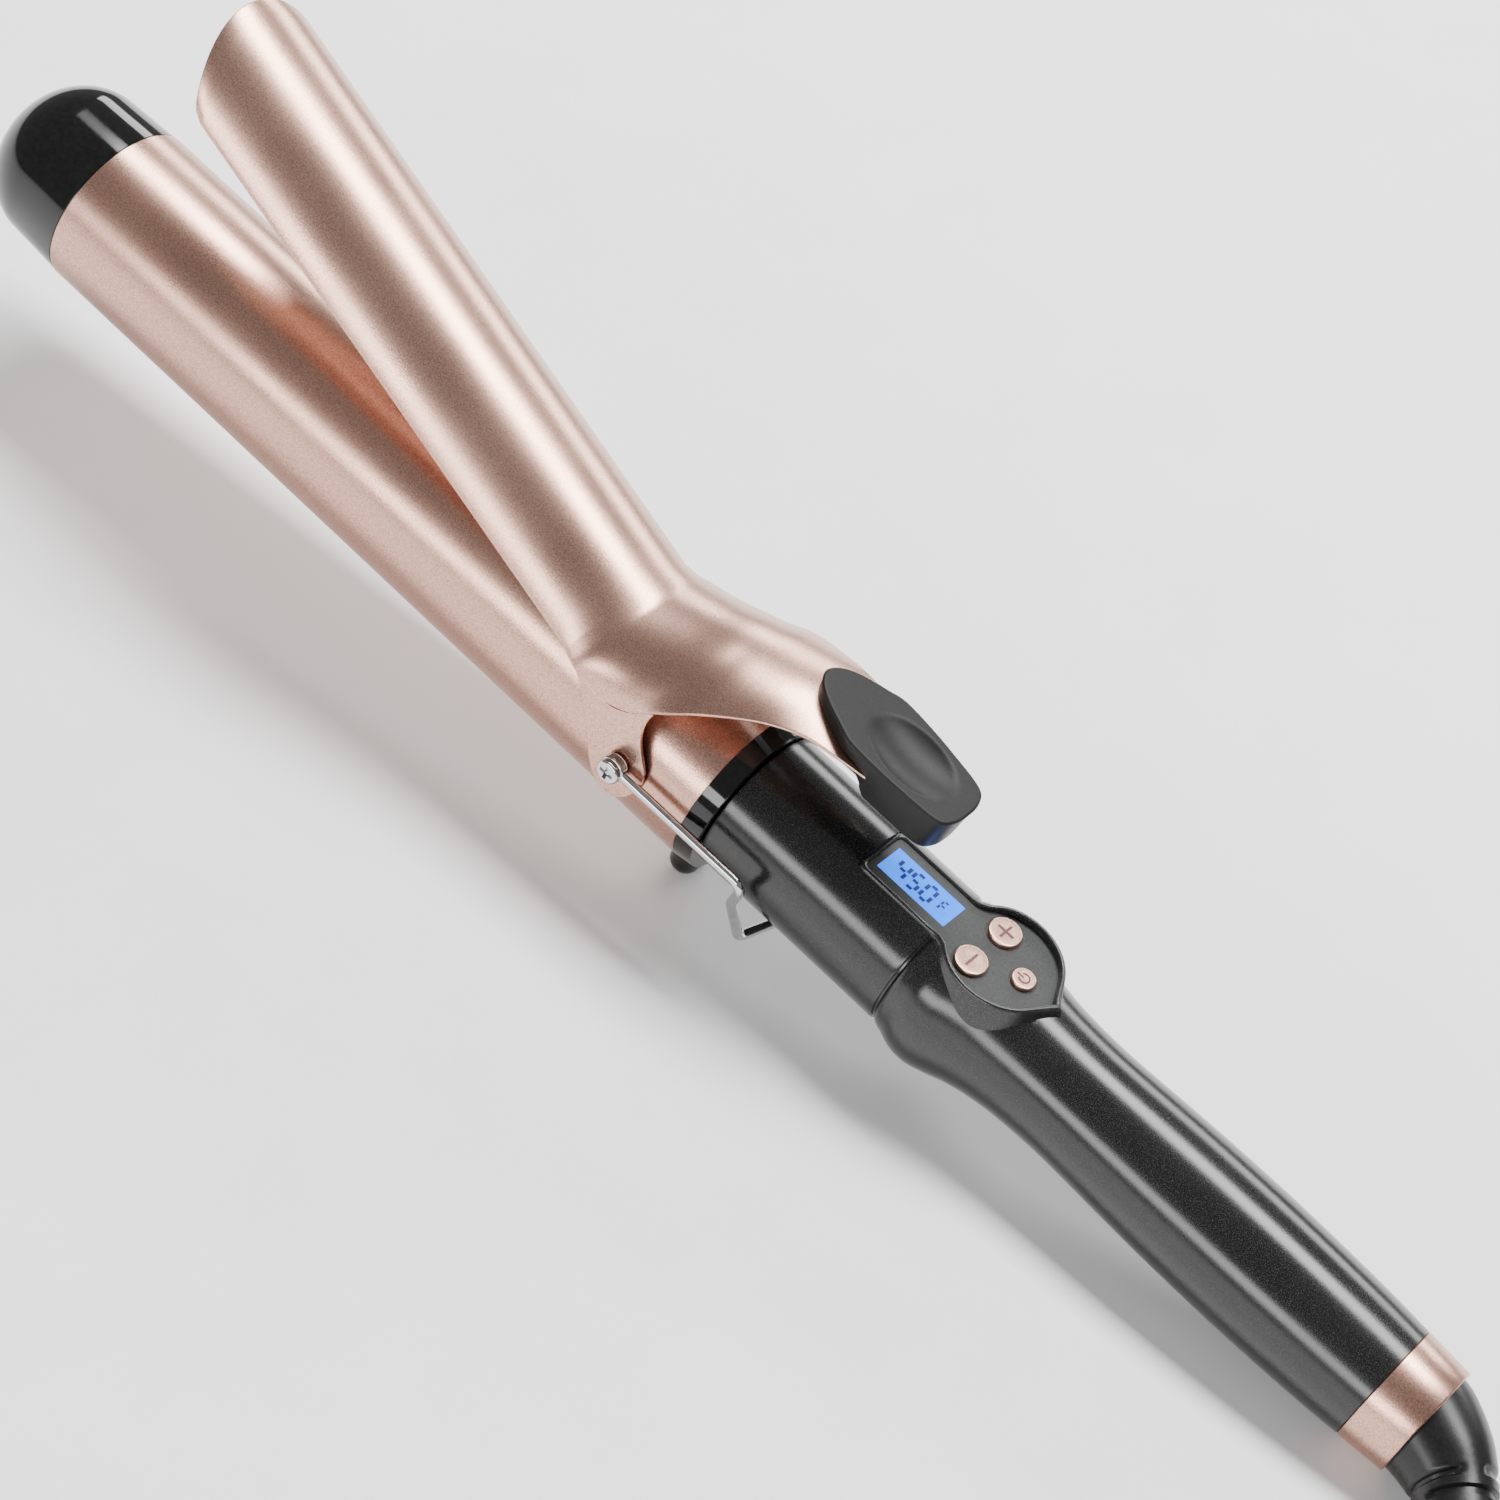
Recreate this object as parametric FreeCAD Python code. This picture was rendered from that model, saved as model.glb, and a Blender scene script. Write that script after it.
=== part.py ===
import FreeCAD, Part
import math
import os

# A clamp curling iron, lying on a table on its foot and its tail ring, with the clamp held open.
# Millimetres. Every piece is first drawn in the tool's own frame: X runs along the barrel towards
# the cord, with x = 0 at the barrel's rear end, Z is up through the clamp and Y = 0 is the plane of
# symmetry. The clamp is drawn closed and then swung open. Last, the tool is tilted until foot and
# ring touch the table, which is z = 0.

V = FreeCAD.Vector

# Barrel and tip
barrel_length = 185.0
barrel_radius = 19.05
barrel_wall = 0.9
cap_skirt_length = 13.0
cap_skirt_taper = 0.6
cap_dome_length = 15.7
cap_wall = 2.4
cap_spigot_length = 8.0
fit_gap = 0.05

# Heater inside the barrel
spreader_length = 90.0
spreader_setback = 45.0
spreader_wall = 0.8
heater_length = 80.0
heater_width = 13.0
heater_thickness = 3.0
lead_radius = 0.9
lead_spacing = 10.0
thermistor_radius = 1.2
thermistor_length = 7.0

# Pivot
pivot_setback = 17.2
pivot_height = 2.8
screw_shank_radius = 1.5
screw_shoulder_radius = 2.0
screw_head_radius = 2.7
screw_head_height = 1.3
running_gap = 0.05
bush_length = 19.0
bush_bore_radius = 9.0

# Clamp
clamp_gap = 0.3
clamp_wall = 0.8
clamp_half_angle = 67.5
clamp_open_angle = 18.87
clamp_tip_setback = 2.5
crease_setback = 23.8
ear_boss_radius = 3.4
ear_boss_height = 0.2

# Leaf spring under the lever
spring_width = 4.0
spring_thickness = 0.5

# Thumb pad on the clamp's lever
pad_length = 39.6
pad_half_width = 9.1
pad_slope = 13.66
pad_flange = 4.2
pad_skirt_start = 21.2
pad_skirt_depth = 9.6
dish_half_length = 10.8
dish_half_width = 7.0
dish_depth = 2.0
pad_screw_radius = 1.2
pad_screw_head_radius = 2.2
pad_screw_head_height = 1.1
pad_screw_reach = 1.7
pad_screw_drop = 3.4
pad_screws_from_skirt = (3.6, 9.6)

# Wire stand
wire_radius = 1.1
stand_gap = 0.5
stand_eye_radius = 3.0
stand_bend_radius = 2.6

# Collar with its foot
collar_width = 4.3
collar_taper = 0.55
collar_bore_radius = 12.3
collar_spigot_length = 7.5
foot_drop = 29.3
foot_width = 10.0
foot_front = 5.6
foot_rear = 1.2
foot_round = 3.3
foot_flat_depth = 0.4

# Handle
neck_radius = 16.1
neck_length = 47.7
handle_wall = 2.2
seam_depth = 0.6
shoulder_radius = 18.3
shoulder_at = 8.8
waist_radius = 13.33
waist_at = 38.8
swell_radius = 14.33
swell_at = 84.2
grip_length = 120.6
tail_radius = 13.18
tail_bore_radius = 10.25
tail_bore_length = 11.0
tail_spigot_radius = 11.65
tail_spigot_length = 6.3
ring_length = 10.9
ring_end_radius = 12.53
ring_bore_radius = 11.7
ring_mouth_radius = 12.2
handle_screw_radius = 1.3
handle_screw_head_radius = 2.4
handle_screw_head_height = 1.5
handle_screw_sink = 1.2
handle_boss_radius = 2.8
front_screw_at = 23.2
rear_screw_before_end = 22.6

# Control panel
pod_from_neck = 13.2
pod_radius = 13.0
pod_tip_overhang = 2.2
pod_rim_height = 16.3
window_frame_half_width = 7.2
window_frame_front = 33.4
window_rim_height = 15.1
rim_width = 1.2
panel_height = 14.4
panel_thickness = 1.4
panel_ledge = 0.8
window_length = 18.2
window_width = 7.8
window_from_pod = 21.7
window_thickness = 1.2
button_radius = 3.6
power_button_radius = 2.6
button_proud = 1.0
button_gap = 0.2
button_travel = 0.6
button_spread = 11.4
button_from_pod = 3.9
power_from_pod = 5.6
button_flange = 0.3
button_flange_thickness = 0.9
board_thickness = 1.6
board_height = 6.6
board_half_width = 7.0
display_half_width = 4.8
display_length = 21.0
switch_size = 4.4
switch_height = 2.0
switch_stem_height = 0.5
stem_radius = 0.9
drive_board_length = 56.0
drive_board_from_waist = 3.0
drive_board_half_width = 7.6
drive_board_top = -0.4
capacitor_height = 6.5
capacitor_from_front = 8.0
capacitor_length = 14.0
capacitor_half_width = 4.0
triac_height = 5.5
triac_from_front = 30.0
triac_length = 10.0
triac_sides = (-2.0, 2.5)
choke_from_front = 48.0
choke_offset = 3.2
choke_radius = 2.6

# Cord swivel
drum_flange_radius = 8.9
drum_flange_thickness = 3.0
drum_neck_radius = 5.5
drum_neck_length = 6.8
spindle_radius = 3.0
spindle_length = 9.6
contact_ring_radius = 3.8
contact_ring_width = 2.0
contact_rings_from_drum = (3.0, 7.0)
socket_wall = 0.9
socket_plate = 4.6
relief_setback = 4.1

# Cord
cord_radius = 3.0
coil_mid_radius = 34.0
coil_layers = 3
tie_thickness = 1.0
tie_width = 8.0
tie_angle = 110.0
plug_length = 34.0
plug_neck_length = 9.0
plug_width = 22.0
plug_height = 11.6
blade_length = 17.5
blade_width = 6.35
blade_thickness = 1.5
blade_spacing = 12.7

# A quarter of an ellipse as one Bezier curve, by its handle length
quarter_round = 0.5523

# Places that follow from the sizes above
barrel_bore = barrel_radius - barrel_wall
pivot_x = -pivot_setback
clamp_outer = barrel_radius + clamp_gap + clamp_wall
clamp_inner = barrel_radius + clamp_gap
stand_inner_y = clamp_outer + stand_gap
stand_y = stand_inner_y + wire_radius
stand_outer_y = stand_inner_y + 2 * wire_radius
neck_end = collar_width + neck_length
grip_end = neck_end + grip_length
ring_end = grip_end + ring_length
cavity_radius = neck_radius - handle_wall
pod_x = neck_end + pod_from_neck
window_x = pod_x - window_from_pod
panel_bottom = panel_height - panel_thickness
button_top = panel_height + button_proud
board_top = board_height + board_thickness
relief_start = ring_end - relief_setback
drum_flange_x = relief_start - drum_neck_length - drum_flange_thickness
drive_board_x = neck_end + waist_at - drive_board_from_waist
tilt = math.degrees(math.atan2(foot_drop - ring_end_radius, ring_end))


def rod_x(x0, x1, radius):
    return Part.makeCylinder(radius, x1 - x0, V(x0, 0, 0), V(1, 0, 0))


def tube_x(x0, x1, outer, inner):
    return rod_x(x0, x1, outer).cut(rod_x(x0 - 1, x1 + 1, inner))


def rod_y(x, z, y0, y1, radius):
    return Part.makeCylinder(radius, y1 - y0, V(x, y0, z), V(0, 1, 0))


def rod_z(x, y, z0, z1, radius):
    return Part.makeCylinder(radius, z1 - z0, V(x, y, z0), V(0, 0, 1))


def block(x0, x1, y0, y1, z0, z1):
    return Part.makeBox(x1 - x0, y1 - y0, z1 - z0, V(x0, y0, z0))


def both_sides(shape):
    """The shape with its mirror image across Y = 0, as two solids."""
    return Part.makeCompound([shape, shape.mirror(V(0, 0, 0), V(0, 1, 0))])


def turned(edges):
    """A solid of revolution about X, from edges that close onto the axis."""
    return Part.Face(Part.Wire(edges)).revolve(V(0, 0, 0), V(1, 0, 0), 360)


def line(a, b):
    return Part.LineSegment(a, b).toShape()


def curve(points):
    """A smooth curve through the points."""
    spline = Part.BSplineCurve()
    spline.interpolate(points)
    return spline.toShape()


def polygon(points):
    return [line(a, b) for a, b in zip(points, points[1:] + points[:1])]


def rounded_path(points, radius_at):
    """Straight runs joined by tangent arcs: radius_at(shorter run, half turn) gives each radius."""
    edges = []
    radii = []
    start = points[0]
    for before, corner, after in zip(points, points[1:], points[2:]):
        arriving = (corner - before).normalize()
        leaving = (after - corner).normalize()
        half_turn = arriving.getAngle(leaving) / 2
        shorter = min((corner - before).Length, (after - corner).Length)
        radius = radius_at(shorter, half_turn)
        reach = radius * math.tan(half_turn)
        first = corner - arriving * reach
        last = corner + leaving * reach
        inward = (leaving - arriving).normalize()
        middle = corner + inward * (radius / math.cos(half_turn) - radius)
        edges.append(line(start, first))
        edges.append(Part.Arc(first, middle, last).toShape())
        radii.append(radius)
        start = last
    edges.append(line(start, points[-1]))
    return Part.Wire(edges), radii


def wire_radius_at(shorter, half_turn):
    return min(stand_bend_radius, 0.45 * shorter / math.tan(half_turn))


def cord_radius_at(shorter, half_turn):
    return 0.45 * shorter / math.tan(half_turn)


def round_tube(points, radius, radius_at):
    """A round tube along the rounded path, with the radii of its bends."""
    path, radii = rounded_path(points, radius_at)
    ring = Part.Wire(Part.Circle(points[0], points[1] - points[0], radius).toShape())
    return path.makePipeShell([ring], True, False), path.Length, radii


# Barrel


def make_barrel_tube():
    tube = tube_x(-barrel_length, 0, barrel_radius, barrel_bore)
    hole = rod_y(pivot_x, pivot_height, -barrel_radius - 1, barrel_radius + 1, screw_shank_radius + 0.1)
    return tube.cut(hole)


def make_tip_cap():
    """A black end cap: a slightly tapered skirt, an elliptical dome and a spigot in the barrel."""
    skirt_radius = barrel_radius - 0.1
    dome_radius = skirt_radius - cap_skirt_taper
    dome_x = -barrel_length - cap_skirt_length
    tip_x = dome_x - cap_dome_length
    tip = V(tip_x, 0, 0)
    brim = V(dome_x, 0, dome_radius)
    rear = V(-barrel_length, 0, skirt_radius)
    end = V(-barrel_length, 0, 0)
    dome = Part.BezierCurve()
    lean = V(-quarter_round * cap_dome_length, 0, 0)
    lift = V(0, 0, quarter_round * dome_radius)
    dome.setPoles([brim, brim + lean, tip + lift, tip])
    cap = turned([dome.toShape(), line(tip, end), line(end, rear), line(rear, brim)])
    spigot = rod_x(-barrel_length, -barrel_length + cap_spigot_length, barrel_bore - fit_gap)
    hollow = rod_x(dome_x, -barrel_length + cap_spigot_length + 1, barrel_bore - fit_gap - cap_wall)
    return cap.fuse(spigot).cut(hollow).removeSplitter()


def make_heat_spreader(side):
    """Half of the sleeve that carries the heat: a thin half shell with a seat on two webs."""
    x1 = -spreader_setback
    x0 = x1 - spreader_length
    outer = barrel_bore - fit_gap
    shell = tube_x(x0, x1, outer, outer - spreader_wall)
    web_y = heater_width / 2 - spreader_wall
    seat_z = heater_thickness / 2 + fit_gap
    seat = block(x0, x1, -heater_width / 2, heater_width / 2, seat_z, seat_z + 1.0)
    web = block(x0, x1, web_y - spreader_wall, web_y, seat_z, outer)
    webs = web.fuse(web.mirror(V(0, 0, 0), V(0, 1, 0))).common(rod_x(x0, x1, outer - spreader_wall / 2))
    half = shell.common(block(x0, x1, -outer, outer, 1.0, outer)).fuse(seat).fuse(webs).removeSplitter()
    return half if side > 0 else half.mirror(V(0, 0, 0), V(0, 0, 1))


def make_ceramic_heater():
    x1 = -spreader_setback - (spreader_length - heater_length) / 2
    half_width = heater_width / 2
    half = heater_thickness / 2
    return block(x1 - heater_length, x1, -half_width, half_width, -half, half)


def make_thermistor():
    x1 = -spreader_setback + 2
    bead = rod_x(x1, x1 + thermistor_length, thermistor_radius)
    return bead.makeFillet(0.5, [e for e in bead.Edges if e.BoundBox.XLength < 0.01])


def make_heater_leads():
    x0 = -spreader_setback + 1
    x1 = collar_width + front_screw_at + handle_boss_radius
    lead = Part.makeCylinder(lead_radius, x1 - x0, V(x0, lead_spacing / 2, 0), V(1, 0, 0))
    return both_sides(lead)


def make_pivot_bush():
    """The insulating block in the barrel that the pivot screws thread into."""
    x0 = pivot_x - bush_length / 2
    bush = tube_x(x0, x0 + bush_length, barrel_bore - fit_gap, bush_bore_radius)
    thread = screw_shank_radius + running_gap
    return bush.cut(rod_y(pivot_x, pivot_height, -barrel_radius, barrel_radius, thread))


def make_pivot_screws():
    """A shoulder screw on each side, holding the clamp's ear and the stand's eye."""
    head_y = stand_outer_y + 0.1
    shank = rod_y(pivot_x, pivot_height, bush_bore_radius + 1, barrel_radius + 1, screw_shank_radius)
    shoulder = rod_y(pivot_x, pivot_height, barrel_radius + 0.02, head_y, screw_shoulder_radius)
    head = rod_y(pivot_x, pivot_height, head_y, head_y + screw_head_height, screw_head_radius)
    rim = [e for e in head.Edges if e.BoundBox.YMin > head_y + screw_head_height - 0.01]
    head = head.makeFillet(0.6, rim)
    slot_y = head_y + screw_head_height - 0.7
    arm = screw_head_radius * 0.62
    for dx, dz in ((arm, 0.45), (0.45, arm)):
        slot = block(pivot_x - dx, pivot_x + dx, slot_y, head_y + 2, pivot_height - dz, pivot_height + dz)
        head = head.cut(slot)
    return both_sides(shank.fuse(shoulder).fuse(head).removeSplitter())


# Collar


def make_collar():
    """The black ring between barrel and neck, with the foot under it."""
    ring = Part.makeCone(
        barrel_radius, barrel_radius - collar_taper, collar_width, V(0, 0, 0), V(1, 0, 0)
    )
    front = rod_x(-collar_spigot_length, 0, barrel_bore - fit_gap)
    rear = rod_x(collar_width, collar_width + collar_spigot_length, cavity_radius - fit_gap)
    foot_top = -neck_radius + handle_wall
    bottom = -foot_drop - foot_flat_depth
    foot = block(-foot_front, foot_rear, -foot_width / 2, foot_width / 2, bottom, foot_top)
    low = [e for e in foot.Edges if e.BoundBox.ZMin < foot_top - 1]
    foot = foot.makeFillet(foot_round, low)
    foot = foot.cut(rod_x(-foot_front - 1, 0, barrel_radius + 0.1))
    table = Part.makeBox(200, 200, 60, V(-100, -100, -60))
    table.translate(V(0, 0, -foot_drop * math.cos(math.radians(tilt))))
    table.rotate(V(0, 0, 0), V(0, 1, 0), -tilt)
    foot = foot.cut(table)
    bore = rod_x(-50, 50, collar_bore_radius)
    return ring.fuse(front).fuse(rear).fuse(foot).cut(bore).removeSplitter()


# Clamp, drawn closed


def clamp_shell():
    """The trough of the clamp, cut at 45 degrees at its tip."""
    x0 = -barrel_length + clamp_tip_setback
    x1 = pivot_x - crease_setback
    half = math.radians(clamp_half_angle)
    shell = tube_x(x0, x1, clamp_outer, clamp_inner)
    reach = 3 * clamp_outer
    corners = [
        V(x0, 0, 0),
        V(x0, reach * math.sin(half), reach * math.cos(half)),
        V(x0, 0, reach * 1.5),
        V(x0, -reach * math.sin(half), reach * math.cos(half)),
    ]
    wedge = Part.Face(Part.Wire(polygon(corners))).extrude(V(x1 - x0, 0, 0))
    top = clamp_outer
    bevel = [V(x0 - 1, -50, top + 1), V(x0 - 1, -50, -1), V(x0 + top, -50, 0), V(x0 - 1, -50, top + 1)]
    knife = Part.Face(Part.Wire(polygon(bevel[:3]))).extrude(V(0, 100, 0))
    return shell.common(wedge).cut(knife)


def sheet_section(x, half_width, edge_z, crown_z):
    """A closed section of the curved sheet, at x: an arc over the crown, with the wall's thickness."""
    rise = crown_z - edge_z
    radius = (half_width**2 + rise**2) / (2 * rise)
    middle_z = crown_z - radius
    share = (radius - clamp_wall) / radius
    inner_width = half_width * share
    inner_edge = middle_z + (edge_z - middle_z) * share
    outer_a = V(x, -half_width, edge_z)
    outer_b = V(x, half_width, edge_z)
    inner_a = V(x, -inner_width, inner_edge)
    inner_b = V(x, inner_width, inner_edge)
    return Part.Wire(
        [
            Part.Arc(outer_a, V(x, 0, crown_z), outer_b).toShape(),
            line(outer_b, inner_b),
            Part.Arc(inner_b, V(x, 0, crown_z - clamp_wall), inner_a).toShape(),
            line(inner_a, outer_a),
        ]
    )


def clamp_lever():
    """The sheet behind the trough, which climbs over the pivot and narrows into the lever."""
    half = math.radians(clamp_half_angle)
    full = clamp_outer
    stations = [
        (-crease_setback, full * math.sin(half), full * math.cos(half), full),
        (-18.3, full * 0.985, 8.2, full + 3.4),
        (-12.8, full, 10.5, full + 7.6),
        (-6.8, full, 20.0, full + 12.8),
        (0.2, full - 1.15, 29.5, full + 17.8),
        (8.2, full - 5.35, 38.0, full + 22.8),
        (15.2, full - 8.05, 43.6, full + 25.6),
        (22.2, full - 9.95, 46.2, full + 27.0),
        (41.2, full - 13.65, 50.9, full + 31.4),
    ]
    sections = [sheet_section(pivot_x + dx, width, edge, crown) for dx, width, edge, crown in stations]
    return Part.makeLoft(sections, True, False)


def clamp_ear():
    """The flat ear on the +Y side that the pivot screw goes through."""

    def at(dx, z):
        return V(pivot_x + dx, clamp_outer - clamp_wall, z)

    edges = [
        line(at(-17.0, 9.5), at(-7.6, -1.1)),
        line(at(-7.6, -1.1), at(-3.1, -4.9)),
        Part.Arc(at(-3.1, -4.9), at(1.6, -6.3), at(6.0, -2.2)).toShape(),
        Part.Arc(at(6.0, -2.2), at(6.5, 1.6), at(4.1, 7.2)).toShape(),
        Part.Arc(at(4.1, 7.2), at(-2.1, 13.1), at(-3.9, 20.2)).toShape(),
        line(at(-3.9, 20.2), at(-3.2, 25.0)),
        line(at(-3.2, 25.0), at(-8.8, 22.0)),
        line(at(-8.8, 22.0), at(-13.8, 13.0)),
        line(at(-13.8, 13.0), at(-17.0, 9.5)),
    ]
    plate = Part.Face(Part.Wire(edges)).extrude(V(0, clamp_wall, 0))
    boss = rod_y(pivot_x, pivot_height, clamp_outer, clamp_outer + ear_boss_height, ear_boss_radius)
    return plate.fuse(boss)


def pad_placement():
    """Where the thumb pad's nose lies, with its top sloping up to the rear."""
    return FreeCAD.Placement(
        V(pivot_x + 7.9, 0, clamp_outer + 27.5), FreeCAD.Rotation(V(0, 1, 0), -pad_slope)
    )


def pad_screw_places():
    """The pad's two screws, along its length from the nose."""
    return [pad_skirt_start + back for back in pad_screws_from_skirt]


def pad_screw(u, head_radius, shank_radius, top, bottom):
    """A screw up into the pad, in the pad's own frame, with its head at the bottom."""
    head = rod_z(u, 0, bottom, bottom + pad_screw_head_height, head_radius)
    return head.fuse(rod_z(u, 0, bottom, top, shank_radius))


def placed_in_pad(shape):
    moved = shape.copy()
    moved.Placement = pad_placement()
    return moved


def make_clamp_blade():
    ear = clamp_ear()
    blade = clamp_shell().fuse([clamp_lever(), ear, ear.mirror(V(0, 0, 0), V(0, 1, 0))])
    reach = clamp_outer + 5
    blade = blade.cut(rod_y(pivot_x, pivot_height, -reach, reach, screw_shoulder_radius + running_gap))
    for u in pad_screw_places():
        blade = blade.cut(placed_in_pad(rod_z(u, 0, -12, 0, pad_screw_radius)))
    return blade.removeSplitter()


def pad_outline(inset):
    """The pad's outline seen from above: a round nose, full sides and a blunt rear end."""
    full = pad_half_width - inset
    end = pad_length - inset
    side = [
        (0.07 * pad_length + inset / 2, 0.46 * full),
        (0.21 * pad_length, 0.79 * full),
        (0.40 * pad_length, full),
        (0.61 * pad_length, 0.99 * full),
        (0.81 * pad_length, 0.90 * full),
        (end - 0.05 * pad_length, 0.70 * full),
        (end - 0.008 * pad_length, 0.33 * full),
    ]
    points = [V(inset, 0, 0)] + [V(u, v, 0) for u, v in side] + [V(end, 0, 0)]
    points += [V(u, -v, 0) for u, v in reversed(side)]
    spline = Part.BSplineCurve()
    spline.interpolate(Points=points, PeriodicFlag=True)
    return Part.Face(Part.Wire(spline.toShape()))


def make_thumb_pad(blade):
    """A black thumb rest on the lever: a dished top with a deep skirt behind, over the sheet."""
    top = pad_outline(0).extrude(V(0, 0, -pad_flange))
    skirt = pad_outline(0.6).extrude(V(0, 0, -pad_skirt_depth))
    skirt = skirt.common(block(pad_skirt_start, pad_length, -20, 20, -pad_skirt_depth, 0))
    pad = top.fuse(skirt)
    hollow_half = pad_half_width * 0.55
    hollow = block(pad_skirt_start + 1.5, pad_length - 3.5, -hollow_half, hollow_half, -20, -pad_flange - 0.2)
    ball_radius = (dish_half_width**2 + dish_depth**2) / (2 * dish_depth)
    ball = Part.makeSphere(ball_radius, V(0, 0, 0))
    stretch = FreeCAD.Matrix()
    stretch.scale(V(dish_half_length / dish_half_width, 1, 1))
    ball = ball.transformGeometry(stretch)
    ball.translate(V(pad_length * 0.606, 0, ball_radius - dish_depth))
    pad = pad.cut(hollow).cut(ball)
    for u in pad_screw_places():
        pad = pad.cut(rod_z(u, 0, -12, -pad_flange + pad_screw_reach, pad_screw_radius))
    return placed_in_pad(pad).cut(blade).removeSplitter()


def make_pad_screws():
    screws = [
        pad_screw(
            u,
            pad_screw_head_radius,
            pad_screw_radius,
            -pad_flange + pad_screw_reach,
            -pad_flange - pad_screw_drop,
        )
        for u in pad_screw_places()
    ]
    return Part.makeCompound([placed_in_pad(s) for s in screws])


def make_clamp_spring(blade):
    """A bent leaf spring under the lever, whose toe rides just over the top of the barrel."""
    toe_z = barrel_radius + clamp_gap + 0.75
    path = [
        V(pivot_x + 15.0, 0, clamp_outer + 24.75),
        V(pivot_x + 10.0, 0, clamp_outer + 21.9),
        V(pivot_x + 1.0, 0, toe_z + 6.0),
        V(pivot_x - 5.2, 0, toe_z + 0.4),
        V(pivot_x - 9.4, 0, toe_z + 2.4),
    ]
    wire, _ = rounded_path(path, lambda shorter, half_turn: min(3.0, 0.4 * shorter / math.tan(half_turn)))
    strip = Part.Wire(polygon(spring_corners(path)))
    spring = wire.makePipeShell([strip], True, False).cut(blade)
    return max(spring.Solids, key=lambda solid: solid.Volume)


def spring_corners(path):
    """The four corners of the strip's section at the start of its path."""
    along = (path[1] - path[0]).normalize()
    across = V(-along.z, 0, along.x) * (spring_thickness / 2)
    left = path[0] - V(0, spring_width / 2, 0)
    right = path[0] + V(0, spring_width / 2, 0)
    return [left + across, left - across, right - across, right + across]


def make_wire_stand():
    """A wire bail, folded back along the neck: two legs, a curl at each knee and a bar below."""
    leg = stand_y
    drop = -neck_radius - wire_radius - 1.5
    side = [
        V(pivot_x + 2.1, leg, pivot_height),
        V(pivot_x + 35.9, leg, pivot_height + 0.2),
        V(pivot_x + 34.4, leg - 2.2, pivot_height - 8.4),
        V(pivot_x + 37.3, leg - 7.6, drop + 0.3),
    ]
    middle = V(pivot_x + 40.6, 0, drop)
    mirrored = [V(p.x, -p.y, p.z) for p in reversed(side)]
    wire, _, _ = round_tube(side + [middle] + mirrored, wire_radius, wire_radius_at)
    eye = rod_y(pivot_x, pivot_height, stand_inner_y, stand_outer_y, stand_eye_radius)
    eye = eye.makeFillet(0.5, [e for e in eye.Edges if e.BoundBox.YLength < 0.01])
    stand = wire.fuse([eye, eye.mirror(V(0, 0, 0), V(0, 1, 0))])
    reach = stand_outer_y + 5
    return stand.cut(rod_y(pivot_x, pivot_height, -reach, reach, screw_shoulder_radius + running_gap))


# Handle


def grip_points(inset):
    """The grip's outline behind the neck: shoulder, waist, palm swell and tail."""
    return [
        V(neck_end + 0.4, 0, neck_radius - seam_depth - inset),
        V(neck_end + 0.55 * shoulder_at, 0, (neck_radius * 0.35 + shoulder_radius * 0.65) - inset),
        V(neck_end + shoulder_at, 0, shoulder_radius - inset),
        V(neck_end + shoulder_at * 1.75, 0, (shoulder_radius + waist_radius) / 2 + 0.6 - inset),
        V(neck_end + waist_at * 0.7, 0, waist_radius + 0.75 - inset),
        V(neck_end + waist_at, 0, waist_radius - inset),
        V(neck_end + swell_at, 0, swell_radius - inset),
        V(grip_end, 0, tail_radius - inset),
    ]


def handle_outside():
    points = grip_points(0)
    corners = [V(collar_width, 0, 0), V(collar_width, 0, neck_radius), V(neck_end, 0, neck_radius), points[0]]
    edges = [line(a, b) for a, b in zip(corners, corners[1:])]
    edges.append(curve(points))
    edges.append(line(points[-1], V(grip_end, 0, 0)))
    edges.append(line(V(grip_end, 0, 0), corners[0]))
    body = turned(edges)
    return body.fuse(rod_x(grip_end, grip_end + tail_spigot_length, tail_spigot_radius))


def handle_cavity():
    """The hollow of the handle, with a narrower bore at the tail for the cord's swivel."""
    points = grip_points(handle_wall)
    mouth = collar_width - 1
    corners = [V(mouth, 0, 0), V(mouth, 0, cavity_radius), V(neck_end - 1, 0, cavity_radius), points[0]]
    edges = [line(a, b) for a, b in zip(corners, corners[1:])]
    edges.append(curve(points))
    edges.append(line(points[-1], V(grip_end, 0, 0)))
    edges.append(line(V(grip_end, 0, 0), corners[0]))
    bore_start = grip_end + tail_spigot_length - tail_bore_length
    hollow = turned(edges).cut(rod_x(bore_start, ring_end, 3 * tail_radius))
    return hollow.fuse(rod_x(bore_start - 1, grip_end + tail_spigot_length + 1, tail_bore_radius))


def window_prism(inset, z0, z1):
    """The straight part of the panel's keyhole outline, around the display."""
    half = window_frame_half_width - inset
    prism = block(pod_x - window_frame_front + inset, pod_x, -half, half, z0, z1)
    corners = [e for e in prism.Edges if e.BoundBox.ZLength > 1 and e.BoundBox.XMax < pod_x - 1]
    return prism.makeFillet(1.0, corners)


def pod_prism(inset, z0, z1):
    return rod_z(pod_x, 0, z0, z1, pod_radius - inset)


def pod_tip_prism(z0, z1):
    """The pear's pointed rear end, tangent to the round part."""
    touch = math.acos(pod_radius / (pod_radius + pod_tip_overhang))
    x = pod_x + pod_radius * math.cos(touch)
    y = pod_radius * math.sin(touch)
    corners = [V(pod_x, 0, z0), V(x, -y, z0), V(pod_x + pod_radius + pod_tip_overhang, 0, z0), V(x, y, z0)]
    return Part.Face(Part.Wire(polygon(corners))).extrude(V(0, 0, z1 - z0))


def boss_places():
    return [collar_width + front_screw_at, grip_end - rear_screw_before_end]


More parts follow.
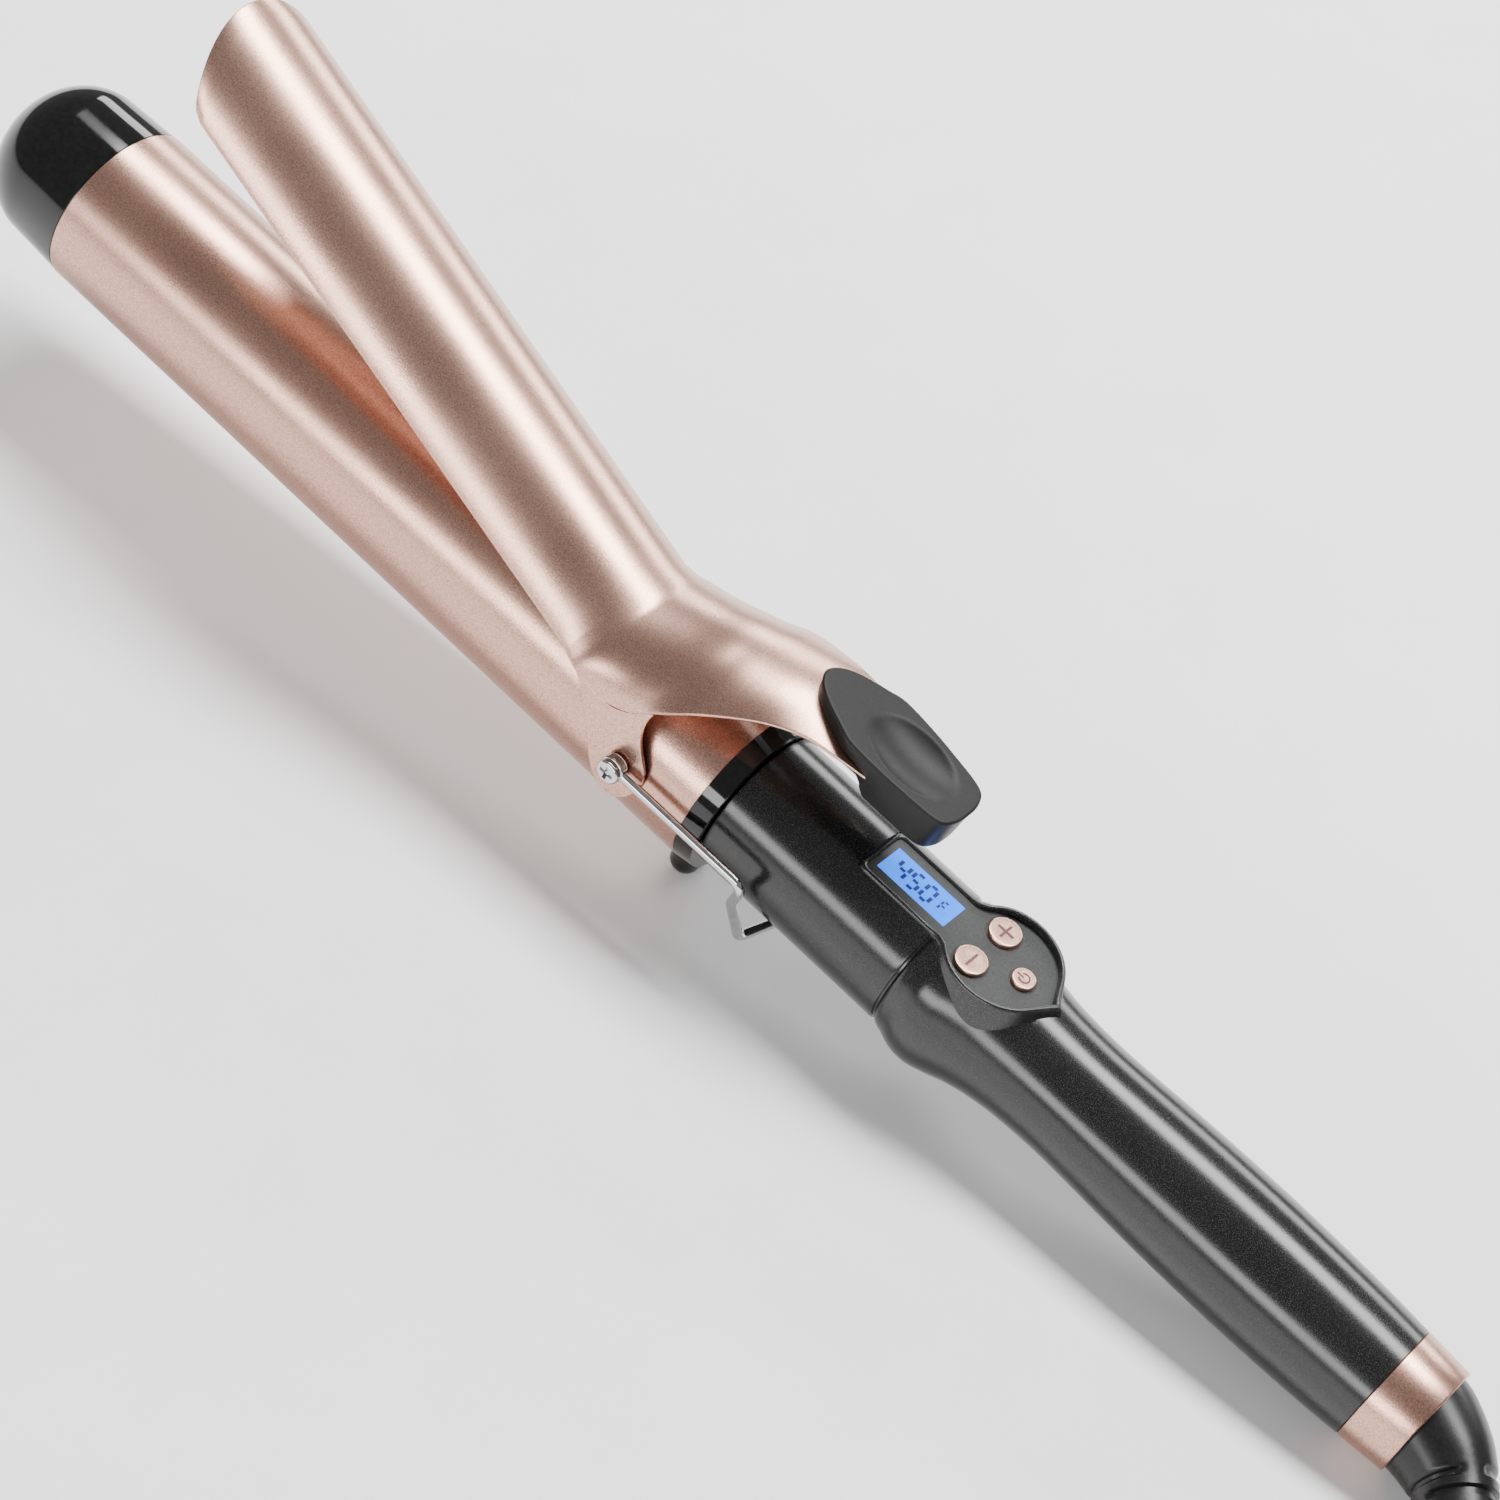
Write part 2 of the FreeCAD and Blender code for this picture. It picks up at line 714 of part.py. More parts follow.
def make_handle_shell_upper():
    """The upper half of the handle, with the raised rim and pocket of the control panel."""
    cavity = handle_cavity()
    body = handle_outside().fuse(
        [
            window_prism(0, 0, window_rim_height),
            pod_prism(0, 0, pod_rim_height),
            pod_tip_prism(0, pod_rim_height),
        ]
    )
    body = body.cut(cavity).common(block(0, ring_end, -40, 40, 0, 40))
    for x in boss_places():
        body = body.fuse(rod_z(x, 0, 1.0, neck_radius, handle_boss_radius).common(handle_outside()))
    top = pod_rim_height + 5
    body = body.cut(window_prism(rim_width, panel_bottom, top).fuse(pod_prism(rim_width, panel_bottom, top)))
    low = rim_width + panel_ledge
    body = body.cut(window_prism(low, 1.0, top).fuse(pod_prism(low, 1.0, top)))
    for x in boss_places():
        body = body.cut(rod_z(x, 0, 0, 9.0, handle_screw_radius + fit_gap))
    return body.removeSplitter()


def screw_head_z(x):
    """The height of a handle screw's head, sunk below the surface at x."""
    surface = neck_radius if x < neck_end else waist_radius
    return -surface + handle_screw_sink


def make_handle_shell_lower():
    body = handle_outside().cut(handle_cavity()).common(block(0, ring_end, -40, 40, -40, 0))
    for x in boss_places():
        boss = rod_z(x, 0, -neck_radius, -0.2, handle_boss_radius).common(handle_outside())
        body = body.fuse(boss)
    for x in boss_places():
        head_top = screw_head_z(x) + handle_screw_head_height
        body = body.cut(rod_z(x, 0, -30, head_top, handle_screw_head_radius + 0.2))
        body = body.cut(rod_z(x, 0, -30, 1, handle_screw_radius + 0.2))
    return body.removeSplitter()


def make_handle_screws():
    screws = []
    for x in boss_places():
        z = screw_head_z(x)
        head = rod_z(x, 0, z, z + handle_screw_head_height, handle_screw_head_radius)
        head = head.cut(block(x - 1.6, x + 1.6, -0.4, 0.4, z - 1, z + 0.8))
        head = head.cut(block(x - 0.4, x + 0.4, -1.6, 1.6, z - 1, z + 0.8))
        screws.append(head.fuse(rod_z(x, 0, z + 1.4, 8.0, handle_screw_radius)))
    return Part.makeCompound(screws)


def make_end_ring():
    """The metal ring that closes the handle's tail."""
    ring = Part.makeCone(tail_radius, ring_end_radius, ring_length, V(grip_end, 0, 0), V(1, 0, 0))
    mouth = 3.0
    funnel = Part.makeCone(
        ring_bore_radius, ring_mouth_radius, mouth + 0.01, V(ring_end - mouth, 0, 0), V(1, 0, 0)
    )
    return ring.cut(rod_x(grip_end - 1, ring_end - mouth, ring_bore_radius)).cut(funnel)


# Control panel


def button_places():
    """Centre and radius of each button, by name."""
    x = pod_x - button_from_pod
    y = button_spread / 2
    return {
        "plus": (x, y, button_radius),
        "minus": (x, -y, button_radius),
        "power": (pod_x + power_from_pod, 0, power_button_radius),
    }


def make_control_panel():
    inset = rim_width + fit_gap
    panel = window_prism(inset, panel_bottom, panel_height).fuse(
        pod_prism(inset, panel_bottom, panel_height)
    )
    half_length = window_length / 2
    half_width = window_width / 2
    panel = panel.cut(block(window_x - half_length, window_x + half_length, -half_width, half_width, 0, 30))
    for x, y, radius in button_places().values():
        panel = panel.cut(rod_z(x, y, 0, 30, radius + button_gap))
    return panel.removeSplitter()


def make_display_window():
    half_length = window_length / 2 - fit_gap
    half_width = window_width / 2 - fit_gap
    top = panel_height - 0.1
    return block(
        window_x - half_length, window_x + half_length, -half_width, half_width, top - window_thickness, top
    )


def make_display_module():
    half = display_length / 2
    wide = display_half_width
    return block(window_x - half, window_x + half, -wide, wide, board_top, panel_bottom - fit_gap)


def make_control_board():
    x0 = pod_x - window_frame_front + 2.5
    return block(x0, pod_x + pod_radius - 1.5, -board_half_width, board_half_width, board_height, board_top)


def make_button_switches():
    switches = []
    half = switch_size / 2
    for x, y, _ in button_places().values():
        top = board_top + switch_height
        body = block(x - half, x + half, y - half, y + half, board_top, top)
        switches.append(body.fuse(rod_z(x, y, top, top + switch_stem_height, stem_radius)))
    return Part.makeCompound(switches)


def make_button(x, y, radius):
    """A round key with a flange under the panel and a stem over its switch."""
    flange_top = panel_bottom - 0.2
    flange_bottom = flange_top - button_flange_thickness
    stem_bottom = board_top + switch_height + switch_stem_height + button_travel + fit_gap
    cap = rod_z(x, y, flange_bottom, button_top, radius)
    rim = [e for e in cap.Edges if e.BoundBox.ZMin > button_top - 0.01]
    cap = cap.makeFillet(0.3, rim)
    flange = rod_z(x, y, flange_bottom, flange_top, radius + button_flange)
    stem = rod_z(x, y, stem_bottom, flange_bottom + 0.1, stem_radius)
    return cap.fuse([flange, stem]).removeSplitter()


def make_drive_board():
    """The power board in the grip, with its capacitor, triac and choke."""
    x0 = drive_board_x
    x1 = x0 + drive_board_length
    half = drive_board_half_width
    top = drive_board_top
    board = block(x0, x1, -half, half, top - board_thickness, top)
    x = x0 + capacitor_from_front
    wide = capacitor_half_width
    capacitor = block(x, x + capacitor_length, -wide, wide, top, capacitor_height)
    x = x0 + triac_from_front
    triac = block(x, x + triac_length, *triac_sides, top, triac_height)
    choke = rod_z(x0 + choke_from_front, choke_offset, top, triac_height, choke_radius)
    return board.fuse([capacitor, triac, choke])


def make_contact_springs():
    """Two brass strips from the power board that brush on the swivel's rings."""
    x1 = drum_flange_x - 2.4
    y = contact_ring_radius + 0.3
    strip = block(drive_board_x + drive_board_length - 5, x1, y, y + 0.6, -0.4, 2.4)
    return both_sides(strip)


# Cord swivel


def make_swivel_socket(side):
    """Half of the seat in the tail that holds the swivel drum and lets it turn."""
    x1 = grip_end + tail_spigot_length - 0.5
    x0 = grip_end + tail_spigot_length - tail_bore_length + 0.3
    outer = tail_bore_radius - fit_gap
    seat = tube_x(x0, x1 - socket_plate, outer, outer - socket_wall)
    plate = tube_x(x1 - socket_plate, x1, outer, drum_neck_radius + 0.1)
    half = seat.fuse(plate).removeSplitter()
    z0 = 0 if side > 0 else -40
    return half.common(block(x0, x1, -40, 40, z0, z0 + 40))


def make_swivel_drum():
    flange = rod_x(drum_flange_x, drum_flange_x + drum_flange_thickness, drum_flange_radius)
    neck = rod_x(drum_flange_x + drum_flange_thickness, relief_start, drum_neck_radius)
    spindle = rod_x(drum_flange_x - spindle_length, drum_flange_x, spindle_radius)
    return flange.fuse([neck, spindle]).removeSplitter()


def make_contact_rings():
    rings = []
    for back in contact_rings_from_drum:
        x = drum_flange_x - back
        rings.append(tube_x(x - contact_ring_width, x, contact_ring_radius, spindle_radius))
    return Part.makeCompound(rings)


# The cord, in table axes from the point on the table under the ring's centre

relief_route = [V(0, -0.4, 12.4), V(7.0, -3.6, 11.9), V(13.3, -8.4, 11.0), V(19.0, -15.2, 10.0)]
relief_route += [V(24.5, -23.7, 8.2), V(29.5, -33.0, 6.6)]
relief_radii = [11.2, 10.0, 8.3, 7.4, 6.2, 4.7]
cord_route = [V(29.5, -33.0, 6.6), V(35.6, -44.4, 4.9), V(50.8, -57.3, 4.0)]
coil_centre = V(80.0, -30.0, 0)
tail_centre = V(78.0, -38.0, 0)
tail_radius_out = 35.0
tail_angles = [192, 222, 252, 282, 312, 342, 372]
tail_heights = [14.0, 18.0, 21.5, 24.0, 24.9, 24.9, 24.9]


def make_strain_relief(start, direction):
    """The bend relief: round sections along its curve, thick at the ring and thin at the cord."""
    routes = [start] + relief_route
    radii = [relief_radii[0]] + relief_radii
    rings = []
    for i, (centre, radius) in enumerate(zip(routes, radii)):
        if i == 0:
            normal = direction
        elif i == len(routes) - 1:
            normal = cord_route[1] - cord_route[0]
        else:
            normal = routes[i + 1] - routes[i - 1]
        rings.append(Part.Wire(Part.Circle(centre, normal, radius).toShape()))
    return Part.makeLoft(rings, True, False)


def make_power_cord():
    tube, length, radii = round_tube(cord_route, cord_radius, cord_radius_at)
    report_tube("power_cord", tube, length, radii)
    return tube


def report_tube(name, tube, length, radii):
    section = math.pi * cord_radius**2
    print(name, "bend radii", [round(r, 1) for r in radii], "smallest allowed", 10 * cord_radius)
    print(name, "length", round(length, 1), "volume", round(tube.Volume))
    print(name, "section times length", round(section * length))


def coil_section(margin):
    """The rounded square section of the wound turns, in the plane y = 0 of the coil's own axis."""
    half = coil_layers * cord_radius + margin
    middle = tie_thickness + coil_layers * cord_radius
    corner = cord_radius + margin
    box = block(coil_mid_radius - half, coil_mid_radius + half, 0, 1, middle - half, middle + half)
    box = box.makeFillet(corner, [e for e in box.Edges if e.BoundBox.YLength > 0.5])
    faces = [f for f in box.Faces if f.BoundBox.YMax < 0.01]
    return faces[0]


def make_cord_coil():
    ring = coil_section(0).revolve(V(0, 0, 0), V(0, 0, 1), 360)
    ring.translate(coil_centre)
    return ring


def make_cord_tie():
    """A band around the wound turns."""
    sweep = math.degrees(tie_width / coil_mid_radius)
    band = coil_section(tie_thickness).revolve(V(0, 0, 0), V(0, 0, 1), sweep)
    band = band.cut(coil_section(0).revolve(V(0, 0, 0), V(0, 0, 1), 360))
    band.rotate(V(0, 0, 0), V(0, 0, 1), tie_angle)
    band.translate(coil_centre)
    return band


def tail_route():
    route = []
    for angle, z in zip(tail_angles, tail_heights):
        turn = FreeCAD.Rotation(V(0, 0, 1), angle)
        route.append(tail_centre + turn.multVec(V(tail_radius_out, 0, z)))
    return route


def make_cord_tail():
    tube, length, radii = round_tube(tail_route(), cord_radius, cord_radius_at)
    report_tube("cord_tail", tube, length, radii)
    return tube


def placed_at_tail(shape):
    """Moves a plug piece, drawn along +X from the origin, to the end of the cord's tail."""
    route = tail_route()
    along = route[-1] - route[-2]
    turn = math.degrees(math.atan2(along.y, along.x))
    moved = shape.copy()
    moved.rotate(V(0, 0, 0), V(0, 0, 1), turn)
    moved.translate(route[-1])
    return moved


def make_plug_body():
    x0 = plug_neck_length
    half_height = plug_height / 2
    body = block(x0, plug_length, -plug_width / 2, plug_width / 2, -half_height, half_height)
    body = body.makeFillet(3.0, body.Edges)
    neck = Part.makeCone(cord_radius + 1.0, half_height - 1.0, x0 + 2, V(0, 0, 0), V(1, 0, 0))
    return placed_at_tail(body.fuse(neck).removeSplitter())


def make_plug_blades():
    y = blade_spacing / 2
    half = blade_thickness / 2
    wide = blade_width / 2
    blade = block(plug_length, plug_length + blade_length, y - half, y + half, -wide, wide)
    hole = rod_y(plug_length + blade_length - 3.5, 0, 0, 20, 1.6)
    return placed_at_tail(both_sides(blade.cut(hole)))


# Assembly


def swung_open(shape):
    moved = shape.copy()
    moved.rotate(V(pivot_x, 0, pivot_height), V(0, 1, 0), clamp_open_angle)
    return moved


def tool_pieces():
    """Every piece of the tool itself, in the tool's frame, with the clamp open."""
    blade = make_clamp_blade()
    pieces = {
        "barrel_tube": make_barrel_tube(),
        "tip_cap": make_tip_cap(),
        "heat_spreader_upper": make_heat_spreader(1),
        "heat_spreader_lower": make_heat_spreader(-1),
        "ceramic_heater": make_ceramic_heater(),
        "thermistor": make_thermistor(),
        "heater_leads": make_heater_leads(),
        "pivot_bush": make_pivot_bush(),
        "pivot_screws": make_pivot_screws(),
        "collar": make_collar(),
        "clamp_blade": swung_open(blade),
        "thumb_pad": swung_open(make_thumb_pad(blade)),
        "pad_screws": swung_open(make_pad_screws()),
        "clamp_spring": swung_open(make_clamp_spring(blade)),
        "wire_stand": make_wire_stand(),
        "handle_shell_upper": make_handle_shell_upper(),
        "handle_shell_lower": make_handle_shell_lower(),
        "handle_screws": make_handle_screws(),
        "end_ring": make_end_ring(),
        "control_panel": make_control_panel(),
        "display_window": make_display_window(),
        "display_module": make_display_module(),
        "control_board": make_control_board(),
        "button_switches": make_button_switches(),
        "drive_board": make_drive_board(),
        "contact_springs": make_contact_springs(),
        "swivel_socket_upper": make_swivel_socket(1),
        "swivel_socket_lower": make_swivel_socket(-1),
        "swivel_drum": make_swivel_drum(),
        "contact_rings": make_contact_rings(),
    }
    for name, place in button_places().items():
        pieces["button_" + name] = make_button(*place)
    return pieces


def table_placement(pieces):
    """Tilts the tool onto its foot and ring, and centres its outer box over the origin."""
    turn = FreeCAD.Rotation(V(0, 1, 0), tilt)
    lift = foot_drop * math.cos(math.radians(tilt))
    whole = Part.makeCompound([p.copy() for p in pieces])
    whole.Placement = FreeCAD.Placement(V(0, 0, lift), turn)
    box = whole.optimalBoundingBox(False)
    return FreeCAD.Placement(V(-(box.XMin + box.XMax) / 2, 0, lift), turn)


def placed(shape, placement):
    moved = shape.copy()
    moved.Placement = placement.multiply(moved.Placement)
    return moved


def cord_pieces(placement):
    """The cord and what is on it, lying on the table beyond the ring."""
    end = placement.multVec(V(ring_end, 0, 0))
    under = V(end.x, 0, 0)
    start = placement.multVec(V(relief_start, 0, 0)) - under
    direction = placement.Rotation.multVec(V(1, 0, 0))
    pieces = {
        "strain_relief": make_strain_relief(start, direction),
        "power_cord": make_power_cord(),
        "cord_coil": make_cord_coil(),
        "cord_tie": make_cord_tie(),
        "cord_tail": make_cord_tail(),
        "plug_body": make_plug_body(),
        "plug_blades": make_plug_blades(),
    }
    for shape in pieces.values():
        shape.translate(under)
    return pieces


def build():
    tool = tool_pieces()
    placement = table_placement(list(tool.values()))
    nodes = {name: placed(shape, placement) for name, shape in tool.items()}
    nodes.update(cord_pieces(placement))
    return nodes, placement


nodes, placement = build()
os.makedirs("parts", exist_ok=True)
for name, shape in nodes.items():
    if not shape.isValid():
        print("invalid shape", name)
    shape.exportStep("parts/" + name + ".step")
print(len(nodes), "pieces, tilt", round(tilt, 2), "degrees")
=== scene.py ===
import bpy
import bmesh
import math
from mathutils import Matrix, Vector


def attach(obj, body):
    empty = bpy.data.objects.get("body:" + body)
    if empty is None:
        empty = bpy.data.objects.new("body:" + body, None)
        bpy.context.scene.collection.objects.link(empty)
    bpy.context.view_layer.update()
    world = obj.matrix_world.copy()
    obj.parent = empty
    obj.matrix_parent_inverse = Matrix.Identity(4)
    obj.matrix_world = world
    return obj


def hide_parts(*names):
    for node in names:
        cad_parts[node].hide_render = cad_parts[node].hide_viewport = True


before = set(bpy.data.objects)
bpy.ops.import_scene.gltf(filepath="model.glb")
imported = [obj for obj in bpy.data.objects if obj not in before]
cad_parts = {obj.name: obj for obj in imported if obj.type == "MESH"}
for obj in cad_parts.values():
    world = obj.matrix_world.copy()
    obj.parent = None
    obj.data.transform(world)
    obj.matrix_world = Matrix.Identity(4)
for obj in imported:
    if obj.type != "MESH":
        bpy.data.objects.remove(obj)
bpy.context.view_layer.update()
print("frame loaded")

# Pieces are drawn in the tool's own frame, in millimetres: x along the barrel to the cord, z up
# through the clamp. toRow takes them to the row frame in metres.
tool = {
    "tilt": math.radians(5.221735801620985), "place": (14.511624, 0, 29.178403),
    "pivot": Vector((-17.2, 0, 2.8)), "clampOpen": math.radians(18.87),
}
toRow = (
    Matrix.Scale(0.001, 4)
    @ Matrix.Translation(tool["place"])
    @ Matrix.Rotation(tool["tilt"], 4, "Y")
)
openClamp = (
    Matrix.Translation(tool["pivot"])
    @ Matrix.Rotation(tool["clampOpen"], 4, "Y")
    @ Matrix.Translation(-tool["pivot"])
)
unmoved = Matrix.Identity(4)
underRing = Vector((197.25, 0, 0))  # the point on the table below the tail ring


# Helpers


def smoothStep(t):
    t = min(max(t, 0), 1)
    return t * t * (3 - 2 * t)


def curvePoints(ends, steps):
    # a smooth line through all but the first and last of ends, steps points to each span
    points = []
    for a, b, c, d in zip(ends, ends[1:], ends[2:], ends[3:]):
        for i in range(steps):
            t = i / steps
            points.append(
                (b * 2 + (c - a) * t + (a * 2 - b * 5 + c * 4 - d) * t * t + (b * 3 - a - c * 3 + d) * t**3) / 2
            )
    return points


def alongCurve(points, steps):
    ends = [points[0] * 2 - points[1]] + list(points) + [points[-1] * 2 - points[-2]]
    return curvePoints(ends, steps) + [points[-1]]


def finishMesh(name, bm, body, material, replaced=(), move=unmoved, world=toRow, sharp=38):
    bmesh.ops.remove_doubles(bm, verts=bm.verts, dist=0.0005)
    bmesh.ops.recalc_face_normals(bm, faces=bm.faces)
    for face in bm.faces:
        face.smooth = True
    for edge in bm.edges:
        edge.smooth = edge.calc_face_angle(0) < math.radians(sharp)
    bmesh.ops.transform(bm, matrix=world @ move, verts=bm.verts)
    mesh = bpy.data.meshes.new(name)
    bm.to_mesh(mesh)
    bm.free()
    piece = bpy.data.objects.new(name, mesh)
    bpy.context.collection.objects.link(piece)
    mesh.materials.append(material)
    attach(piece, body)
    if replaced:
        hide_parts(*replaced)
    return piece


def spunMesh(profile, segments, centre=None):
    # about the tool's axis, or about an upright axis through centre
    bm = bmesh.new()
    if centre is None:
        axis, middle = (1, 0, 0), Vector((0, 0, 0))
        verts = [bm.verts.new((along, 0, radius)) for along, radius in profile]
    else:
        axis, middle = (0, 0, 1), Vector(centre)
        verts = [bm.verts.new(middle + Vector((radius, 0, along))) for along, radius in profile]
    edges = [bm.edges.new(pair) for pair in zip(verts, verts[1:])]
    bmesh.ops.spin(bm, geom=verts + edges, cent=middle, axis=axis, angle=2 * math.pi, steps=segments)
    return bm


def loftedMesh(loops, closed=True, capStart=False, capEnd=False):
    bm = bmesh.new()
    rings = [[bm.verts.new(p) for p in loop] for loop in loops]
    count = len(rings[0])
    for near, far in zip(rings, rings[1:]):
        for i in range(count if closed else count - 1):
            j = (i + 1) % count
            bm.faces.new((near[i], near[j], far[j], far[i]))
    if capStart:
        bm.faces.new(rings[0])
    if capEnd:
        bm.faces.new(rings[-1])
    return bm


def tubeLoops(line, radiusAt, sides):
    loops = []
    side = Vector((0, 0, 1))
    for i, p in enumerate(line):
        ahead = (line[min(i + 1, len(line) - 1)] - line[max(i - 1, 0)]).normalized()
        side = (side - ahead * side.dot(ahead)).normalized()
        other = ahead.cross(side)
        loops.append(
            [
                p + (side * math.cos(a) + other * math.sin(a)) * radiusAt(i, a)
                for a in (2 * math.pi * k / sides for k in range(sides))
            ]
        )
    return loops


def boxMesh(bm, low, high):
    centre = (Vector(low) + Vector(high)) / 2
    size = Vector(high) - Vector(low)
    bmesh.ops.create_cube(bm, size=1, matrix=Matrix.Translation(centre) @ Matrix.Diagonal((*size, 1)))


def softenEdges(piece, width, limit):
    soft = piece.modifiers.new("edge", "BEVEL")
    soft.width = width
    soft.segments = 2
    soft.limit_method = "ANGLE"
    soft.angle_limit = math.radians(limit)


# Materials

grainFacts = {"detail": 3, "cloudSize": 35, "bumpDistance": 0.0001}


def grainGroup():
    group = bpy.data.node_groups.new("fineGrain", "ShaderNodeTree")
    for label in ("Size", "Depth"):
        group.interface.new_socket(label, in_out="INPUT", socket_type="NodeSocketFloat")
    group.interface.new_socket("Grain", in_out="OUTPUT", socket_type="NodeSocketFloat")
    group.interface.new_socket("Cloud", in_out="OUTPUT", socket_type="NodeSocketFloat")
    group.interface.new_socket("Normal", in_out="OUTPUT", socket_type="NodeSocketVector")
    nodes, links = group.nodes, group.links
    given, result = nodes.new("NodeGroupInput"), nodes.new("NodeGroupOutput")
    place = nodes.new("ShaderNodeTexCoord")
    fine = nodes.new("ShaderNodeTexNoise")
    fine.inputs["Detail"].default_value = grainFacts["detail"]
    cloud = nodes.new("ShaderNodeTexNoise")
    cloud.inputs["Scale"].default_value = grainFacts["cloudSize"]
    bump = nodes.new("ShaderNodeBump")
    bump.inputs["Distance"].default_value = grainFacts["bumpDistance"]
    links.new(place.outputs["Object"], fine.inputs["Vector"])
    links.new(place.outputs["Object"], cloud.inputs["Vector"])
    links.new(given.outputs["Size"], fine.inputs["Scale"])
    links.new(given.outputs["Depth"], bump.inputs["Strength"])
    links.new(fine.outputs["Fac"], bump.inputs["Height"])
    links.new(fine.outputs["Fac"], result.inputs["Grain"])
    links.new(cloud.outputs["Fac"], result.inputs["Cloud"])
    links.new(bump.outputs["Normal"], result.inputs["Normal"])
    return group


grain = grainGroup()


def mapped(nodes, links, source, low, high, fromLow=0.3, fromHigh=0.7):
    ranged = nodes.new("ShaderNodeMapRange")
    for label, value in (("From Min", fromLow), ("From Max", fromHigh), ("To Min", low), ("To Max", high)):
        ranged.inputs[label].default_value = value
    links.new(source, ranged.inputs["Value"])
    return ranged.outputs["Result"]


def mixed(nodes, links, factor, first, second):
    mix = nodes.new("ShaderNodeMix")
    mix.data_type = "RGBA"
    links.new(factor, mix.inputs["Factor"])
    for socket, colour in ((mix.inputs["A"], first), (mix.inputs["B"], second)):
        if isinstance(colour, tuple):
            socket.default_value = (*colour, 1)
        else:
            links.new(colour, socket)
    return mix.outputs["Result"]


def surface(name, look):
    # two tones over fine grain, with the roughness following a slow cloud
    material = bpy.data.materials.new(name)
    material.use_nodes = True
    nodes, links = material.node_tree.nodes, material.node_tree.links
    shader = nodes["Principled BSDF"]
    noise = nodes.new("ShaderNodeGroup")
    noise.node_tree = grain
    noise.inputs["Size"].default_value = look["size"]
    noise.inputs["Depth"].default_value = look["depth"]
    low, high = look.get("spread", (0.35, 0.65))
    tone = mapped(nodes, links, noise.outputs["Grain"], 0, 1, low, high)
    links.new(mixed(nodes, links, tone, look["dark"], look["light"]), shader.inputs["Base Color"])
    rough = mapped(nodes, links, noise.outputs["Cloud"], *look["rough"])
    links.new(rough, shader.inputs["Roughness"])
    links.new(noise.outputs["Normal"], shader.inputs["Normal"])
    shader.inputs["Metallic"].default_value = look.get("metal", 0)
    shader.inputs["Specular IOR Level"].default_value = look.get("shine", 0.5)
    return material


def grey(value):
    return (value, value, value)


looks = {
    "roseMetal": dict(
        dark=(0.44, 0.235, 0.175), light=(0.72, 0.44, 0.345), rough=(0.25, 0.30), metal=1, size=3600, depth=0.16,
    ),
    "roseClamp": dict(
        dark=(0.46, 0.25, 0.19), light=(0.74, 0.46, 0.365), rough=(0.25, 0.30), metal=1, size=3600, depth=0.16,
    ),
    "glossBlack": dict(dark=grey(0.002), light=grey(0.005), rough=(0.06, 0.10), size=900, depth=0.01),
    "handleBlack": dict(
        dark=grey(0.004), light=grey(0.05), spread=(0.5, 0.75), rough=(0.18, 0.22), size=5600, depth=0.10,
    ),
    "rimBlack": dict(
        dark=grey(0.006), light=grey(0.10), spread=(0.55, 0.74), rough=(0.25, 0.33), size=5200, depth=0.12,
    ),
    "chrome": dict(
        dark=(0.50, 0.50, 0.51), light=(0.60, 0.60, 0.61), rough=(0.04, 0.08), metal=1, size=700, depth=0.02,
    ),
    "steel": dict(
        dark=(0.48, 0.48, 0.49), light=(0.62, 0.62, 0.63), rough=(0.25, 0.4), metal=1, size=900, depth=0.1,
    ),
    "padTop": dict(dark=grey(0.003), light=grey(0.007), rough=(0.42, 0.50), size=2600, depth=0.08, shine=0.22),
    "rubber": dict(dark=grey(0.004), light=grey(0.009), rough=(0.30, 0.38), size=1800, depth=0.15, shine=0.35),
    "panelFace": dict(
        dark=(0.018, 0.019, 0.019), light=(0.032, 0.033, 0.033), rough=(0.34, 0.42), size=2600, depth=0.1, shine=0.35,
    ),
    "displayBlue": dict(dark=(0.01, 0.10, 0.5), light=(0.02, 0.12, 0.6), rough=(0.12, 0.18), size=500, depth=0.01),
    "digitBlue": dict(dark=(0.006, 0.02, 0.16), light=(0.010, 0.03, 0.2), rough=(0.2, 0.3), size=900, depth=0.01),
    "keyRose": dict(
        dark=(0.80, 0.46, 0.36), light=(0.92, 0.58, 0.47), rough=(0.26, 0.34), metal=1, size=1800, depth=0.05,
    ),
    "keyMark": dict(
        dark=(0.08, 0.03, 0.03), light=(0.13, 0.05, 0.05), rough=(0.4, 0.5), metal=0.6, size=1800, depth=0.05,
    ),
    "innerPlastic": dict(dark=grey(0.03), light=grey(0.06), rough=(0.4, 0.5), size=900, depth=0.1),
    "ceramic": dict(dark=(0.72, 0.70, 0.66), light=(0.84, 0.82, 0.78), rough=(0.45, 0.6), size=900, depth=0.1),
    "boardGreen": dict(dark=(0.01, 0.10, 0.05), light=(0.02, 0.16, 0.08), rough=(0.3, 0.45), size=600, depth=0.1),
    "brass": dict(
        dark=(0.62, 0.48, 0.22), light=(0.78, 0.62, 0.32), rough=(0.2, 0.35), metal=1, size=800, depth=0.05,
    ),
    "aluminium": dict(
        dark=(0.6, 0.6, 0.62), light=(0.72, 0.72, 0.74), rough=(0.3, 0.45), metal=1, size=800, depth=0.1,
    ),
    "paleFloor": dict(dark=grey(0.93), light=grey(0.95), rough=(0.75, 0.85), size=40, depth=0, shine=0.1),
}
materials = {name: surface(name, look) for name, look in looks.items()}
print("materials made")

# Barrel, cap, ring and handle, turned about the tool's axis

